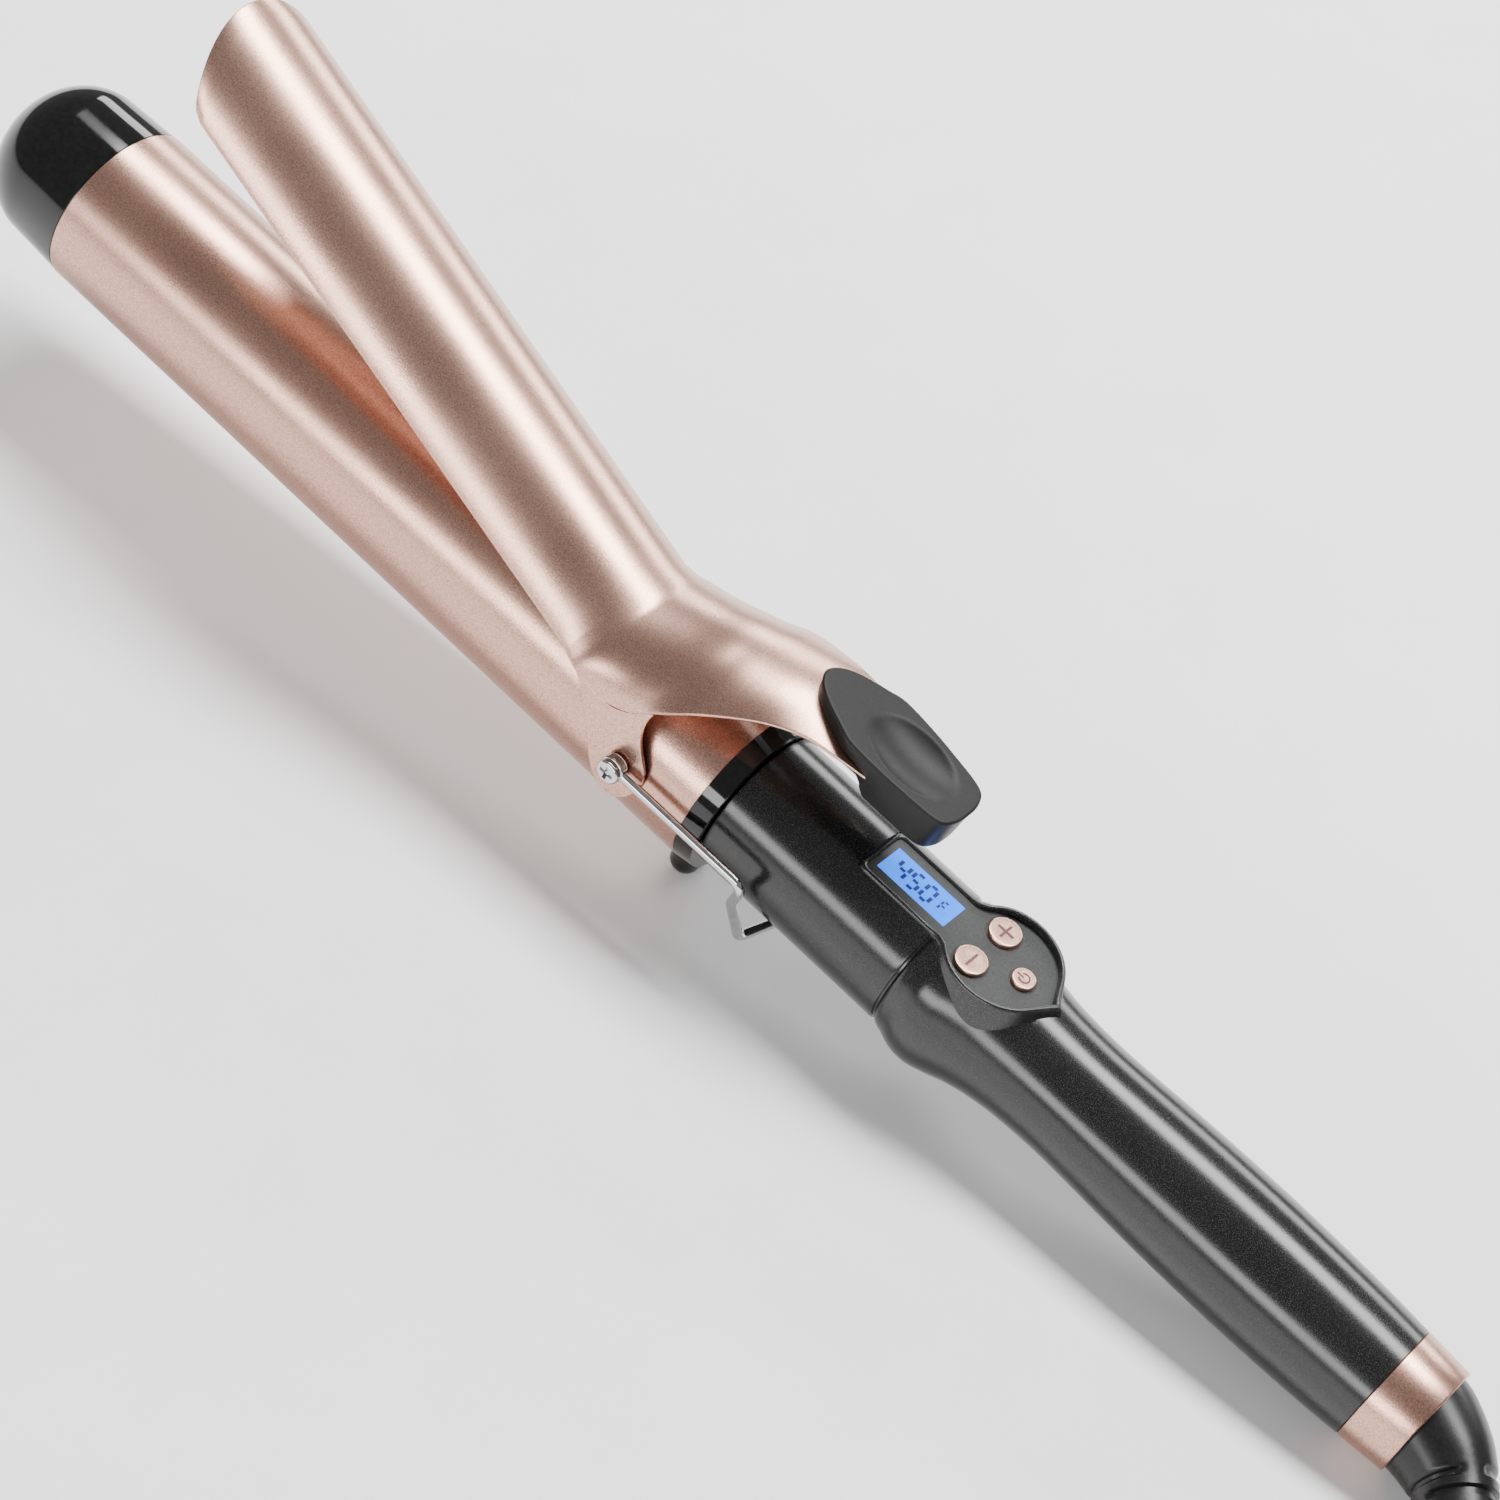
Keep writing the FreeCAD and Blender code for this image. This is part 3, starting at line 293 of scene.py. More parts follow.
barrel = {"length": 185, "radius": 19.05, "bore": 18.15, "edge": 0.15, "rows": (-120, -60), "segments": 192}
barrelLine = [
    (-barrel["length"], barrel["bore"]),
    (-barrel["length"], barrel["radius"] - barrel["edge"]),
    (-barrel["length"] + barrel["edge"], barrel["radius"]),
]
barrelLine += [(x, barrel["radius"]) for x in barrel["rows"]]
barrelLine += [(-barrel["edge"], barrel["radius"]), (0, barrel["radius"] - barrel["edge"]), (0, barrel["bore"])]
barrelMesh = spunMesh(barrelLine, barrel["segments"])
finishMesh("barrel", barrelMesh, "iron", materials["roseMetal"], ["barrel_tube"])

cap = {
    "start": -185.0, "skirtEnd": -198.0, "radius": 18.95, "brim": 18.35, "dome": 15.7,
    "inner": 17, "edge": 0.25, "halfway": 6.5, "steps": 24, "segments": 160,
}
capLine = [
    (cap["start"], cap["inner"]),
    (cap["start"], cap["radius"] - cap["edge"]),
    (cap["start"] - cap["edge"], cap["radius"]),
    (cap["start"] - cap["halfway"], (cap["radius"] + cap["brim"]) / 2),
]
for step in range(cap["steps"] + 1):
    a = math.pi / 2 * step / cap["steps"]
    capLine.append((cap["skirtEnd"] - cap["dome"] * math.sin(a), cap["brim"] * math.cos(a)))
finishMesh("tipCap", spunMesh(capLine, cap["segments"]), "iron", materials["glossBlack"], ["tip_cap"])

ring = {
    "start": 172.65, "end": 183.5, "big": 13.18, "small": 12.53, "bore": 11.7, "mouth": 12.1, "edge": 0.2,
    "lip": [(0.35, -0.03), (0.1, 0.1), (0, 0.25)],  # back from the end, in from the small radius
    "mouthBack": 0.3, "funnel": 4, "segments": 144,
}
ringLine = [
    (ring["start"], ring["bore"]),
    (ring["start"], ring["big"] - ring["edge"]),
    (ring["start"] + ring["edge"], ring["big"]),
]
ringLine += [(ring["end"] - back, ring["small"] - inwards) for back, inwards in ring["lip"]]
ringLine += [
    (ring["end"] - ring["mouthBack"], ring["mouth"]),
    (ring["end"] - ring["funnel"], ring["bore"]),
    (ring["start"], ring["bore"]),
]
finishMesh("endRing", spunMesh(ringLine, ring["segments"]), "iron", materials["roseMetal"], ["end_ring"])

# The control panel's keyhole pod. skirt is inset and height, crest is inset and drop from the top.
pod = {
    "centre": 65.2, "radius": 13.0, "tip": 15.3, "frameHalf": 7.2, "frameFront": 31.9, "corner": 1.6,
    "top": 16.2, "frontTop": 15.1, "riseFrom": 50, "riseOver": 10, "face": 14.4, "rim": 1.15,
    "bed": 12.8, "bedInset": 0.45, "bedSlope": 1.2,
    "tipInset": 1.5, "cornerInset": 0.5, "shoulder": 1.4, "shoulderTurn": 0.12, "blunt": 0.9, "bluntHalf": 1.1,
    "skirt": [(-1.3, 6.0), (-0.9, 10.0)],
    "crest": [(-0.25, 2.2), (-0.05, 0.9), (0.1, 0.35), (0.35, 0.08), (0.6, 0.0), (0.85, 0.05), (1.1, 0.3)],
    "faceDrop": 0.3, "faceLap": 0.02, "cornerSteps": 6, "roundSteps": 32, "halfPoints": 60,
}


def underPanel(p):
    # inside the keyhole, a little way in from its rim
    inset = pod["bedInset"]
    if math.hypot(p.x - pod["centre"], p.y) < pod["radius"] - inset:
        return True
    if pod["frameFront"] + inset < p.x < pod["centre"]:
        return abs(p.y) < pod["frameHalf"] - inset
    behind = p.x - pod["centre"]
    return 0 < behind and behind + abs(p.y) * pod["bedSlope"] < pod["tip"] - inset


grip = {
    "neckRadius": 16.1,
    "neckStart": [(4.5, 12.4), (4.5, 15.9), (4.7, 16.1)],
    "neckRows": range(30, 52),  # close together where the panel's bed is sunk
    "groove": [(51.6, 16.1), (52.0, 15.9), (52.1, 15.45), (52.5, 15.4)],
    "line": [
        (52.5, 15.4), (53.0, 16.0), (53.8, 16.5), (55.4, 16.95), (57.4, 17.70), (59.4, 18.15), (61.4, 18.25),
        (63.4, 18.05), (67.4, 16.9), (71.3, 15.6), (75.3, 14.68), (79.2, 14.07), (83.2, 13.67), (91, 13.33),
        (98.8, 13.42), (110.5, 13.85), (122.1, 14.19), (136.4, 14.33), (147.8, 14.19), (156.3, 13.96),
        (164.8, 13.63), (172.5, 13.16),
    ],
    "end": [(172.6, 13.0), (172.6, 10.3)],
    "steps": 3, "segments": 240,
}
neckLine = grip["neckStart"] + [(x, grip["neckRadius"]) for x in grip["neckRows"]] + grip["groove"]
gripLine = [(p.x, p.y) for p in alongCurve([Vector(p) for p in grip["line"]], grip["steps"])]
handle = spunMesh(neckLine + gripLine[1:] + grip["end"], grip["segments"])
for vert in handle.verts:  # sunk below the control panel
    if vert.co.z > pod["bed"] and underPanel(vert.co):
        vert.co.z = pod["bed"]
finishMesh("handle", handle, "iron", materials["handleBlack"], ["handle_shell_upper", "handle_shell_lower"])
print("turned pieces made")

# Control panel: the pod's rim, a sunk face, a display and three keys


def podOutline(inset):
    # round the keyhole at an inset, from the front middle along the -y side and back along the +y side
    centre, radius, half = pod["centre"], pod["radius"] - inset, pod["frameHalf"] - inset
    front = pod["frameFront"] + inset
    tipReach = pod["tip"] - inset * pod["tipInset"]
    corner = pod["corner"] - inset * pod["cornerInset"]
    meet = math.asin(half / radius)
    touch = math.acos(min(radius / tipReach, 1))
    path = [Vector((front, 0)), Vector((front, -half + corner))]
    for k in range(1, pod["cornerSteps"]):
        a = math.pi / 2 * k / pod["cornerSteps"]
        path.append(Vector((front + corner - corner * math.cos(a), -half + corner - corner * math.sin(a))))
    path.append(Vector((front + corner, -half)))
    path.append(Vector((centre - radius * math.cos(meet) - pod["shoulder"], -half)))
    start = math.pi - meet - pod["shoulderTurn"]
    for k in range(pod["roundSteps"] + 1):
        a = start + (touch - start) * k / pod["roundSteps"]
        path.append(Vector((centre + radius * math.cos(a), -radius * math.sin(a))))
    path.append(Vector((centre + tipReach - pod["blunt"], -pod["bluntHalf"])))
    path.append(Vector((centre + tipReach, 0)))
    lengths = [0]
    for a, b in zip(path, path[1:]):
        lengths.append(lengths[-1] + (b - a).length)
    near = []
    for k in range(pod["halfPoints"] + 1):
        want = lengths[-1] * k / pod["halfPoints"]
        i = max(j for j, reached in enumerate(lengths[:-1]) if reached <= want + 1e-9)
        t = (want - lengths[i]) / (lengths[i + 1] - lengths[i])
        near.append(path[i].lerp(path[i + 1], t))
    return near + [Vector((p.x, -p.y)) for p in reversed(near[1:-1])]


def podTop(p):
    # the rim stands higher round the keys than round the display
    return pod["frontTop"] + (pod["top"] - pod["frontTop"]) * smoothStep((p.x - pod["riseFrom"]) / pod["riseOver"])


def podLoop(inset, level):
    return [Vector((p.x, p.y, level(p))) for p in podOutline(inset)]


podLoops = [podLoop(inset, lambda p: height) for inset, height in pod["skirt"]]
podLoops += [podLoop(inset, lambda p: podTop(p) - drop) for inset, drop in pod["crest"]]
podLoops.append(podLoop(pod["rim"], lambda p: pod["face"] - pod["faceDrop"]))
finishMesh("panelRim", loftedMesh(podLoops), "iron", materials["rimBlack"])

keys = {
    "plus": {"x": 61.3, "y": 5.7, "radius": 3.6},
    "minus": {"x": 61.3, "y": -5.7, "radius": 3.6},
    "power": {"x": 70.8, "y": 0, "radius": 2.6},
}
# width, softness and colour of the painted shade in the gap round each key
keyGapShade = {"wide": 0.35, "soft": 0.00012, "colour": grey(0.006)}


def paintKeyGapShade(material):
    # painted shade in the gap round each key: a dark disc on the panel face, a little wider than the key
    nodes, links = material.node_tree.nodes, material.node_tree.links
    shader = nodes["Principled BSDF"]
    tone = shader.inputs["Base Color"].links[0].from_socket
    place = nodes.new("ShaderNodeTexCoord")
    for key in keys.values():
        away = nodes.new("ShaderNodeVectorMath")
        away.operation = "DISTANCE"
        away.inputs[1].default_value = toRow @ Vector((key["x"], key["y"], pod["face"]))
        links.new(place.outputs["Object"], away.inputs[0])
        edge = (key["radius"] + keyGapShade["wide"]) / 1000
        dark = mapped(nodes, links, away.outputs["Value"], 1, 0, edge, edge + keyGapShade["soft"])
        tone = mixed(nodes, links, dark, tone, keyGapShade["colour"])
    links.new(tone, shader.inputs["Base Color"])


paintKeyGapShade(materials["panelFace"])
panelFace = loftedMesh([podLoop(pod["rim"] - pod["faceLap"], lambda p: pod["face"])], capStart=True)
finishMesh("panelFace", panelFace, "iron", materials["panelFace"], ["control_panel"])

display = {
    "x": 43.5, "length": 18.1, "width": 7.6, "bottom": 13.4, "z": 14.42, "proud": 0.06, "edge": 0.12,
    "glow": (0.0, 0.20, 1.0), "strength": 1.7,
}
lit = materials["displayBlue"].node_tree.nodes["Principled BSDF"]
lit.inputs["Emission Color"].default_value = (*display["glow"], 1)
lit.inputs["Emission Strength"].default_value = display["strength"]
plate = bmesh.new()
halfLength, halfWidth = display["length"] / 2, display["width"] / 2
boxMesh(
    plate,
    (display["x"] - halfLength, -halfWidth, display["bottom"]),
    (display["x"] + halfLength, halfWidth, display["z"] + display["proud"]),
)
bmesh.ops.bevel(plate, geom=plate.edges, offset=display["edge"], segments=2, affect="EDGES")
finishMesh("displayPlate", plate, "iron", materials["displayBlue"], ["display_window", "display_module"])

digits = {
    "high": 4.4, "wide": 2.3, "bar": 0.8, "gap": 3.5, "start": -6.2, "z": 14.5,
    "joinAcross": 0.6, "joinAlong": 0.4, "unitScale": 0.62, "unitGap": 0.9,
}
segmentsOn = {"4": "bcfg", "5": "acdfg", "0": "abcdef", "F": "aefg"}
segmentBars = {
    "a": (0, 1, "h"), "g": (0, 0.5, "h"), "d": (0, 0, "h"),
    "f": (0, 0.5, "v"), "b": (1, 0.5, "v"), "e": (0, 0, "v"), "c": (1, 0, "v"),
}


def addDigit(bm, symbol, offset, scale=1.0):
    # the figures read towards the cord, with their tops on the +y side
    bar = digits["bar"] * scale
    for letter in segmentsOn[symbol]:
        column, row, way = segmentBars[letter]
        x = display["x"] + offset + column * digits["wide"] * scale
        y = (row - 0.5) * digits["high"] * scale
        if way == "h":
            join, long = bar * digits["joinAcross"], digits["wide"] * scale
            low, high = (x + join, y - bar / 2), (x + long - join, y + bar / 2)
        else:
            join, long = bar * digits["joinAlong"], digits["high"] * scale / 2
            low, high = (x - bar / 2, y + join), (x + bar / 2, y + long - join)
        boxMesh(bm, (*low, display["z"]), (*high, digits["z"]))


digitMesh = bmesh.new()
for place, symbol in enumerate("450"):
    addDigit(digitMesh, symbol, digits["start"] + place * digits["gap"])
addDigit(digitMesh, "F", digits["start"] + 3 * digits["gap"] + digits["unitGap"], digits["unitScale"])
finishMesh("displayDigits", digitMesh, "iron", materials["digitBlue"])

keyTop = {"z": 15.4, "edge": 0.35, "foot": 12.6, "steps": 6, "hollow": (0.06, 0.08), "segments": 64}
mark = {
    "arm": 0.56, "half": 0.28, "depth": 0.3, "proud": 0.02, "crossProud": 0.021,
    "stemFrom": 1.25, "stemTo": 0.1, "stemHalf": 0.17,
    "arcInner": 0.95, "arcOuter": 1.3, "arcFrom": 215, "arcSweep": 290, "arcSteps": 20,
}


def keyMark(name, key):
    bm = bmesh.new()
    x, y = key["x"], key["y"]
    low, top = keyTop["z"] - mark["depth"], keyTop["z"] + mark["proud"]
    arm, half = key["radius"] * mark["arm"], mark["half"]
    if name in ("plus", "minus"):
        boxMesh(bm, (x - half, y - arm, low), (x + half, y + arm, top))
        if name == "plus":
            boxMesh(bm, (x - arm, y - half, low), (x + arm, y + half, keyTop["z"] + mark["crossProud"]))
        return bm
    half = mark["stemHalf"]
    boxMesh(bm, (x - arm * mark["stemFrom"], y - half, low), (x - arm * mark["stemTo"], y + half, top))
    for k in range(mark["arcSteps"]):
        a = math.radians(mark["arcFrom"] + mark["arcSweep"] * k / mark["arcSteps"])
        b = math.radians(mark["arcFrom"] + mark["arcSweep"] * (k + 1) / mark["arcSteps"])
        inner, outer = mark["arcInner"], mark["arcOuter"]
        corners = ((a, inner), (b, inner), (b, outer), (a, outer))
        bm.faces.new([bm.verts.new((x + r * math.cos(t), y + r * math.sin(t), top)) for t, r in corners])
    return bm


for name, key in keys.items():
    radius, edge = key["radius"], keyTop["edge"]
    line = [(keyTop["foot"], 0), (keyTop["foot"], radius), (keyTop["z"] - edge, radius)]
    for step in range(1, keyTop["steps"] + 1):
        a = math.pi / 2 * step / keyTop["steps"]
        line.append((keyTop["z"] - edge + edge * math.sin(a), radius - edge + edge * math.cos(a)))
    halfway, middle = keyTop["hollow"]
    line += [(keyTop["z"] - halfway, radius * 0.5), (keyTop["z"] - middle, 0)]
    keyMesh = spunMesh(line, keyTop["segments"], (key["x"], key["y"], 0))
    title, body = name.capitalize(), name + "_key"
    finishMesh("key" + title, keyMesh, body, materials["keyRose"], ["button_" + name])
    finishMesh("mark" + title, keyMark(name, key), body, materials["keyMark"])
print("panel made")

# Clamp: one curved sheet from the trough to the lever, with an ear on each side. A station is x, half
# width, height of the edges and height of the crown.

clamp = {
    "outer": 20.15, "wall": 0.8, "tip": -182.5, "half": math.radians(67.5), "crease": -42.5,
    "corner": 0.07, "cornerCut": 2.2, "edge": 0.00022, "halfSteps": 24, "troughSteps": 40, "leverSteps": 5,
    "stations": [
        (-42.5, 18.62, 7.71, 20.15), (-39.5, 19.5, 7.8, 20.9), (-36.5, 20.12, 8.3, 22.9),
        (-30.0, 20.15, 9.6, 27.9), (-24.5, 20.15, 14.2, 32.6), (-21.2, 20.0, 20.6, 35.0),
        (-17.0, 19.0, 28.6, 37.9), (-9.0, 14.8, 38.0, 43.0), (-2.0, 12.1, 43.6, 45.8),
        (5.0, 10.2, 46.2, 47.3), (15.0, 8.0, 48.9, 49.6), (23.5, 6.6, 50.7, 51.5),
    ],
}


def arcPoint(x, half, edge, crown, t):
    # t runs -1..1 across the sheet
    rise = crown - edge
    radius = (half * half + rise * rise) / (2 * rise)
    wide = math.atan2(half, radius - rise)
    return Vector((x, radius * math.sin(wide * t), crown - radius + radius * math.cos(wide * t)))


def troughPoint(t, share):
    # share runs 0..1 from the tip, cut at 45 degrees with rounded corners, to the crease
    edgeHalf, edgeHeight = clamp["outer"] * math.sin(clamp["half"]), clamp["outer"] * math.cos(clamp["half"])
    p = arcPoint(0, edgeHalf, edgeHeight, clamp["outer"], t)
    start = clamp["tip"] + (clamp["outer"] - p.z)
    corner = 1 - abs(t)
    if corner < clamp["corner"]:
        start += clamp["cornerCut"] * (1 - corner / clamp["corner"]) ** 2
    return Vector((start + (clamp["crease"] - start) * share, p.y, p.z))


across = [k / clamp["halfSteps"] - 1 for k in range(2 * clamp["halfSteps"] + 1)]
sheetRows = []
for k in range(clamp["troughSteps"] + 1):
    sheetRows.append([troughPoint(t, k / clamp["troughSteps"]) for t in across])
for station in alongCurve([Vector(s) for s in clamp["stations"]], clamp["leverSteps"])[1:]:
    sheetRows.append([arcPoint(*station, t) for t in across])
sheet = loftedMesh(sheetRows, closed=False)
blade = finishMesh("clampBlade", sheet, "clamp", materials["roseClamp"], ["clamp_blade"], openClamp, sharp=30)
thick = blade.modifiers.new("sheet", "SOLIDIFY")
thick.thickness = clamp["wall"] / 1000
thick.offset = -1
softenEdges(blade, clamp["edge"], 50)

ear = {
    "y": 20.15, "wall": 0.8, "edge": 0.0002, "steps": 4,
    "line": [
        (-36.9, 8.3), (-34.5, 6.8), (-30.5, 3.6), (-24.8, -1.1), (-21.6, -4.2), (-18.4, -6.0), (-15.3, -6.3),
        (-12.8, -4.9), (-11.2, -2.2), (-10.8, 1.2), (-11.4, 4.9), (-13.1, 7.6), (-16.5, 10.3), (-19.2, 13.3),
        (-20.7, 16.6), (-21.25, 20.4), (-22.6, 17.9), (-25.0, 13.7), (-28.0, 10.8), (-32.0, 9.3),
    ],
}
earLine = alongCurve([Vector(p) for p in ear["line"]], ear["steps"])[:-1]
for name, side in (("earNear", -1), ("earFar", 1)):
    outer = [Vector((p.x, side * ear["y"], p.y)) for p in earLine]
    inner = [Vector((p.x, side * (ear["y"] - ear["wall"]), p.y)) for p in earLine]
    earMesh = loftedMesh([outer, inner], capStart=True, capEnd=True)
    softenEdges(finishMesh(name, earMesh, "clamp", materials["roseClamp"], (), openClamp), ear["edge"], 30)
print("clamp made")

# Thumb pad, in its own frame: x from the nose along the pad, z = 0 on its top. base is inset and height
# above the underside, rim is inset and height.

pad = {
    "nose": Vector((-9.3, 0, 47.65)), "slope": math.radians(-13.66), "middle": Vector((21.0, 0)),
    "flange": 4.2, "skirt": 9.6, "skirtFrom": 17.5, "skirtTo": 22.5,
    "dish": (24.0, 10.8, 7.0, 1.9), "dishBowl": 0.9,
    "side": [
        (0, 0), (0.9, 2.3), (2.9, 4.3), (6.4, 6.2), (10.4, 7.75), (14.6, 9.1), (22.4, 9.0), (29.0, 8.35),
        (35.0, 7.5), (37.9, 6.3), (39.3, 3.4), (39.6, 0),
    ],
    "base": [(1.6, 0), (1.0, 0), (0.7, 0.3)],
    "rim": [(0.35, -1.6), (0.05, -0.75), (0.0, -0.45), (0.1, -0.2), (0.3, -0.04), (0.6, 0.0)],
    "sideSteps": 5, "topRings": 20, "topReach": 0.995,
}
padNear = [Vector((u, -v)) for u, v in pad["side"]]
padRound = padNear + [Vector((u, v)) for u, v in reversed(pad["side"][1:-1])] + [padNear[0]]
padLine = curvePoints([padRound[-2]] + padRound + [padRound[1]], pad["sideSteps"])


def padLoop(inset, level):
    loop = []
    for p in padLine:
        away = p - pad["middle"]
        q = pad["middle"] + away * (1 - inset / away.length)
        loop.append(Vector((q.x, q.y, level(q))))
    return loop


def padBottom(p):
    share = smoothStep((p.x - pad["skirtFrom"]) / (pad["skirtTo"] - pad["skirtFrom"]))
    return -pad["flange"] - (pad["skirt"] - pad["flange"]) * share


def padTop(p):
    u, halfLong, halfWide, deep = pad["dish"]
    q = min(((p.x - u) / halfLong) ** 2 + (p.y / halfWide) ** 2, 1)
    return -deep * (1 - q) ** pad["dishBowl"]


padLoops = [padLoop(inset, lambda p: padBottom(p) + lift) for inset, lift in pad["base"]]
padLoops += [padLoop(inset, lambda p: height) for inset, height in pad["rim"]]
padRim = padLoops[-1]
for k in range(1, pad["topRings"] + 1):
    inwards = [Vector((p.x, p.y)).lerp(pad["middle"], k / pad["topRings"] * pad["topReach"]) for p in padRim]
    padLoops.append([Vector((q.x, q.y, padTop(q))) for q in inwards])
padPlace = openClamp @ Matrix.Translation(pad["nose"]) @ Matrix.Rotation(pad["slope"], 4, "Y")
padMesh = loftedMesh(padLoops, capStart=True, capEnd=True)
finishMesh("thumbPad", padMesh, "clamp", materials["padTop"], ["thumb_pad"], padPlace, sharp=60)
print("pad made")

# Bend relief and cord, in the row frame from the point below the tail ring

relief = {
    "line": [
        (-4.1, 0, 12.85), (0, -0.4, 12.4), (7.0, -3.6, 11.9), (13.3, -8.4, 11.0), (19.0, -15.2, 10.0),
        (24.5, -23.7, 8.4), (29.5, -33.0, 6.8),
    ],
    "radii": [11.2, 11.2, 10.0, 8.3, 7.4, 6.2, 4.7],
    "ribsFrom": 0.42, "ribsTo": 0.97, "ribs": 7, "ribDepth": 0.9,
    "slotHalf": 0.24, "slotSoft": 0.06, "bridgeHalf": 0.25, "bridgeSoft": 0.15,
    "steps": 20, "sides": 64,
}
reliefLine = alongCurve([Vector(p) for p in relief["line"]], relief["steps"])
reliefRadii = [v.x for v in alongCurve([Vector((r, 0)) for r in relief["radii"]], relief["steps"])]


def reliefRadius(i, angle):
    # slots between the ribs, bridged on two sides that alternate along the relief
    share = i / (len(reliefLine) - 1)
    radius = reliefRadii[i]
    if relief["ribsFrom"] < share < relief["ribsTo"]:
        phase = (share - relief["ribsFrom"]) / (relief["ribsTo"] - relief["ribsFrom"]) * relief["ribs"]
        facing = abs(math.cos(angle if int(phase) % 2 else angle + math.pi / 2))
        bridge = smoothStep((facing - relief["bridgeHalf"]) / relief["bridgeSoft"])
        cut = smoothStep((relief["slotHalf"] - abs(phase % 1 - 0.5)) / relief["slotSoft"])
        radius -= relief["ribDepth"] * cut * bridge
    return radius


reliefPiece = finishMesh(
    "bendRelief",
    loftedMesh(tubeLoops(reliefLine, reliefRadius, relief["sides"]), capStart=True, capEnd=True),
    "cord",
    materials["rubber"],
    ["strain_relief"],
    world=Matrix.Scale(0.001, 4) @ Matrix.Translation(underRing),
)

# The cord runs from the relief round the coil, a turn at a time, then climbs out to the plug. A place
# on climb or tail is an angle round its centre, a radius and a height.
cordFacts = {
    "radius": 3.0,
    "lead": [
        (0, -0.4, 12.4), (13.3, -8.4, 11.0), (24.5, -23.7, 8.4), (29.5, -33.0, 6.8), (35.6, -44.4, 5.2),
        (43.0, -51.4, 4.3),
    ],
    "centre": (80.0, -30.0), "startAngle": 224, "endAngle": 3412, "angleStep": 20, "slack": 1.012,
    "turnRadii": [40, 34, 28, 28, 34, 40, 40, 34, 28, 28], "turnHeights": [4, 4, 4, 10, 10, 10, 16, 16, 16, 16],
    "inwardsFrom": 240, "upwardsFrom": 320, "changeOver": 40,
    "climb": [
        (180, 28.3, 17.6), (187, 28.9, 19.6), (195, 30.3, 21.4), (204, 32.8, 22.4), (215, 36.3, 22.8),
        (228, 40.0, 23.2), (243, 42.6, 23.8),
    ],
    "tailCentre": (78.0, -38.0),
    "tail": [
        (262, 35.0, 24.4), (282, 35.0, 24.8), (302, 35.0, 24.9), (322, 35.0, 24.9), (342, 35.0, 24.9),
        (358, 35.0, 24.9), (372, 35.0, 24.9),
    ],
}


def onCoil(angle, radius, height, centre="centre"):
    x, y = cordFacts[centre]
    a = math.radians(angle)
    return Vector((x + radius * math.cos(a), y + radius * math.sin(a), height))


def cordRoute():
    route = [Vector(p) for p in cordFacts["lead"]]
    radii, heights = cordFacts["turnRadii"], cordFacts["turnHeights"]
    for angle in range(cordFacts["startAngle"], cordFacts["endAngle"] + 1, cordFacts["angleStep"]):
        turn, within = divmod(angle - cordFacts["startAngle"], 360)
        inwards = smoothStep((within - cordFacts["inwardsFrom"]) / cordFacts["changeOver"])
        upwards = smoothStep((within - cordFacts["upwardsFrom"]) / cordFacts["changeOver"])
        radius = radii[turn] + (radii[turn + 1] - radii[turn]) * inwards
        height = heights[turn] + (heights[turn + 1] - heights[turn]) * upwards
        route.append(onCoil(angle, radius * cordFacts["slack"], height))
    route += [onCoil(*p) for p in cordFacts["climb"]]
    return route + [onCoil(*p, "tailCentre") for p in cordFacts["tail"]]


def makeCord(route):
    line = bpy.data.curves.new("mainsCord", "CURVE")
    line.dimensions = "3D"
    line.bevel_depth = cordFacts["radius"] / 1000
    line.bevel_resolution = 6
    line.resolution_u = 4
    line.use_fill_caps = True
    spline = line.splines.new("NURBS")
    spline.points.add(len(route) - 1)
    for point, place in zip(spline.points, route):
        point.co = (*((underRing + place) / 1000), 1)
    spline.order_u = 3
    spline.use_endpoint_u = True
    line.materials.append(materials["rubber"])
    piece = bpy.data.objects.new("mainsCord", line)
    bpy.context.collection.objects.link(piece)
    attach(piece, "cord")
    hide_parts("power_cord", "cord_coil", "cord_tail")
    return piece


route = cordRoute()
mainsCord = makeCord(route)
print("cord length", round(sum((b - a).length for a, b in zip(route, route[1:])) / 1000, 3))

# The CAD pieces that are shown as they are

carried = {
    "glossBlack": ["collar"],
    "chrome": ["wire_stand", "pivot_screws"],
    "steel": ["pad_screws", "clamp_spring", "handle_screws"],
    "rubber": ["plug_body", "cord_tie"],
    "brass": ["plug_blades", "contact_springs", "contact_rings"],
    "innerPlastic": ["pivot_bush", "button_switches", "swivel_socket_upper", "swivel_socket_lower", "swivel_drum"],
    "ceramic": ["ceramic_heater", "thermistor", "heater_leads"],
    "boardGreen": ["control_board", "drive_board"],
    "aluminium": ["heat_spreader_upper", "heat_spreader_lower"],
}
for name, nodes in carried.items():
    for node in nodes:
        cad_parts[node].data.materials.clear()
        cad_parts[node].data.materials.append(materials[name])
print("CAD pieces given their materials")

# Camera, floor and light

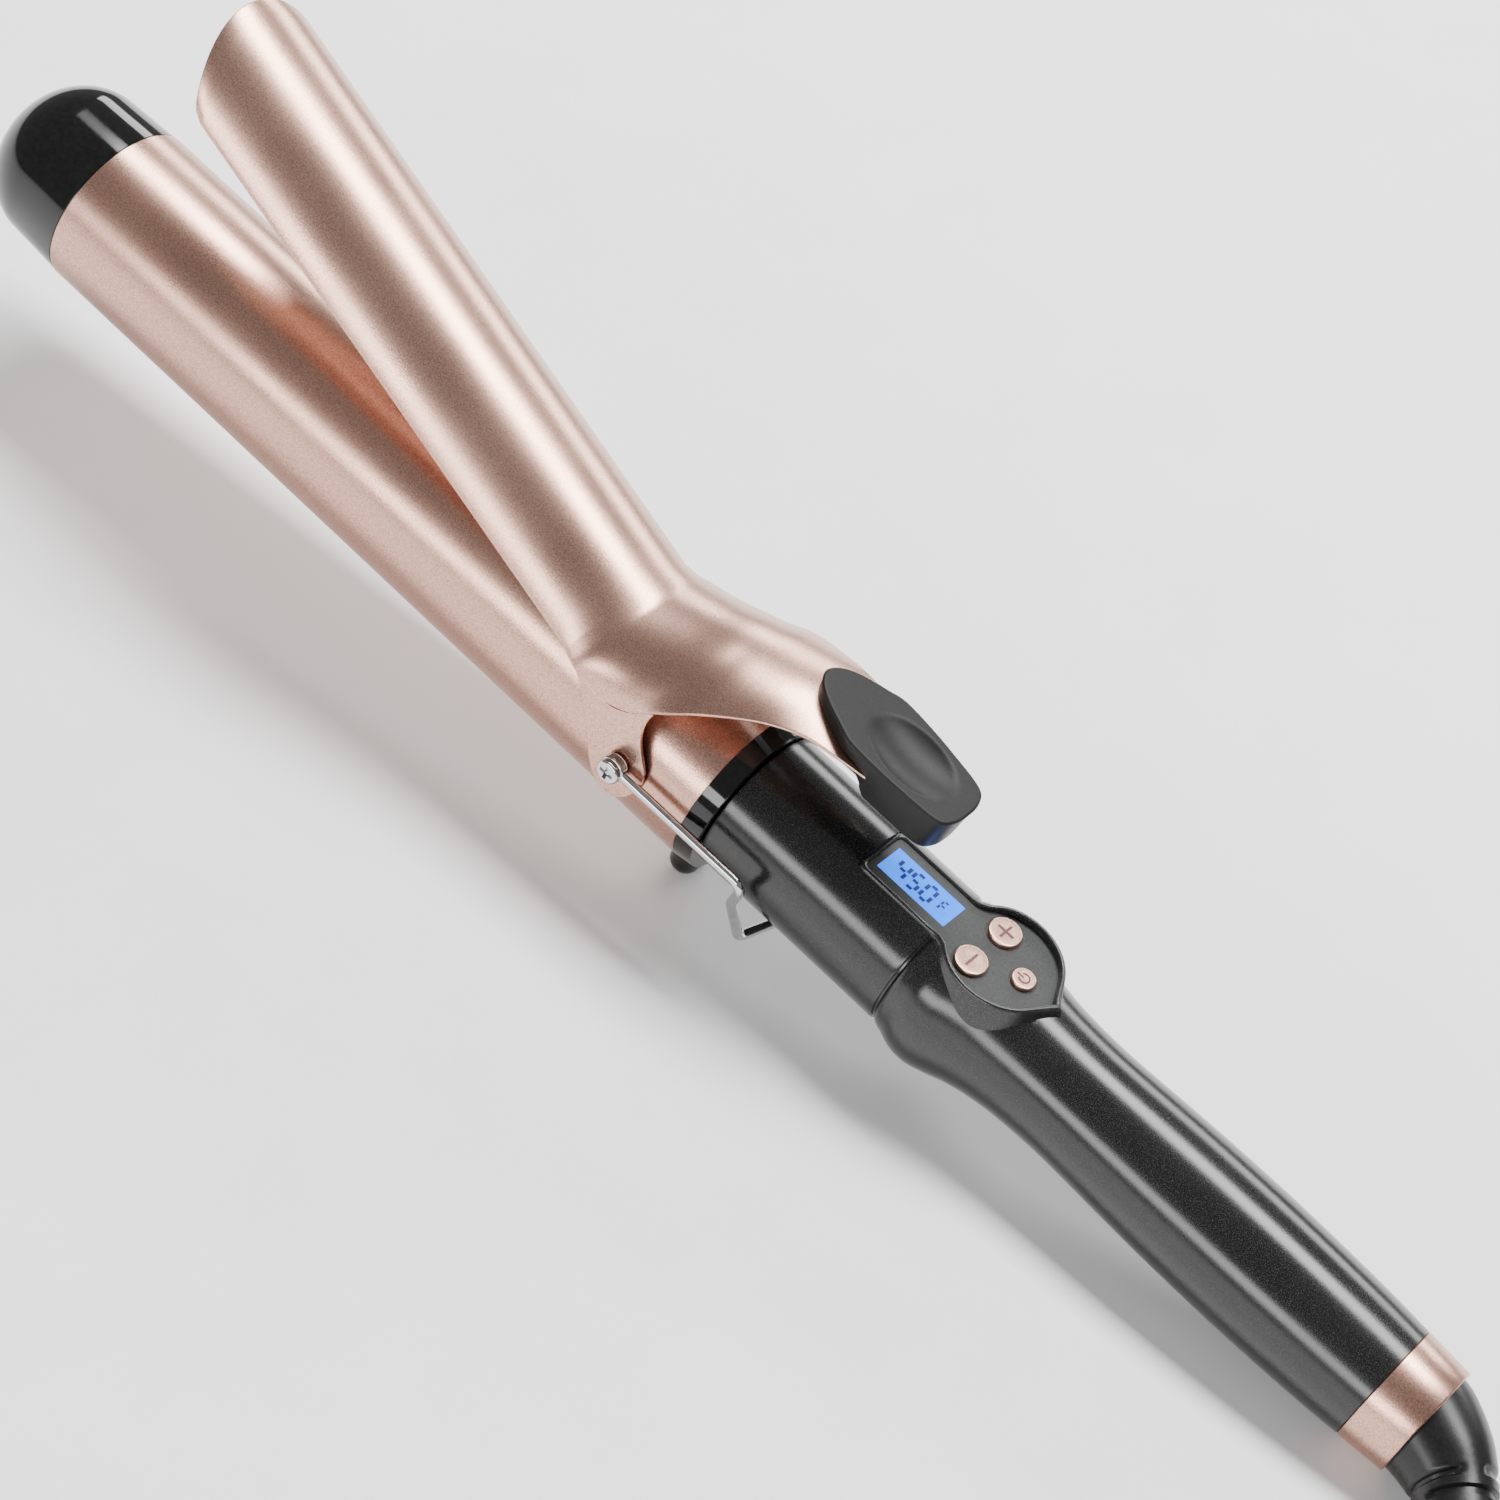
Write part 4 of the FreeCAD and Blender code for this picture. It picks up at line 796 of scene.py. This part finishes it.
view = {
    "place": (185.91, -514.34, 592.41), "right": (0.7132, 0.6232, 0.3208), "down": (0.6606, -0.4446, -0.6049),
    "forward": (-0.2344, 0.6434, -0.7288), "lens": 96.146, "sensor": 36, "near": 0.05, "far": 20,
}
turnToRow = toRow.to_3x3().normalized()
axes = [Vector(view["right"]), -Vector(view["down"]), -Vector(view["forward"])]
lookAt = Matrix([turnToRow @ a for a in axes]).transposed().to_4x4()
cameraData = bpy.data.cameras.new("camera")
cameraData.lens = view["lens"]
cameraData.sensor_width = view["sensor"]
cameraData.clip_start = view["near"]
cameraData.clip_end = view["far"]
camera = bpy.data.objects.new("camera", cameraData)
bpy.context.collection.objects.link(camera)
camera.matrix_world = Matrix.Translation(toRow @ Vector(view["place"])) @ lookAt
bpy.context.scene.camera = camera

floorHalf = 4
floorMesh = bmesh.new()
bmesh.ops.create_grid(floorMesh, x_segments=1, y_segments=1, size=floorHalf)
floorData = bpy.data.meshes.new("floor")
floorMesh.to_mesh(floorData)
floorMesh.free()
floor = bpy.data.objects.new("floor", floorData)
bpy.context.collection.objects.link(floor)
floorData.materials.append(materials["paleFloor"])

softboxes = {
    "overhead": {"place": (0.0, 0.45, 1.3), "aim": (0, 0, 0), "wide": 1.6, "tall": 0.40, "power": 48},
    "front": {"place": (0.1, -1.25, 0.40), "aim": (0, 0, 0.05), "wide": 1.6, "tall": 0.30, "power": 16},
    "back": {"place": (-0.2, 1.3, 0.6), "aim": (0, 0, 0.05), "wide": 1.6, "tall": 0.35, "power": 16},
}
for name, box in softboxes.items():
    data = bpy.data.lights.new(name, "AREA")
    data.shape = "RECTANGLE"
    data.size, data.size_y = box["wide"], box["tall"]
    data.energy = box["power"]
    lamp = bpy.data.objects.new(name, data)
    bpy.context.collection.objects.link(lamp)
    lamp.location = box["place"]
    lamp.rotation_mode = "QUATERNION"
    lamp.rotation_quaternion = (Vector(box["aim"]) - Vector(box["place"])).to_track_quat("-Z", "Y")

studio = {"colour": (1, 1, 1, 1), "strength": 0.3}
world = bpy.data.worlds.new("studio")
world.use_nodes = True
world.node_tree.nodes["Background"].inputs["Color"].default_value = studio["colour"]
world.node_tree.nodes["Background"].inputs["Strength"].default_value = studio["strength"]
bpy.context.scene.world = world
print("camera, floor and light made")
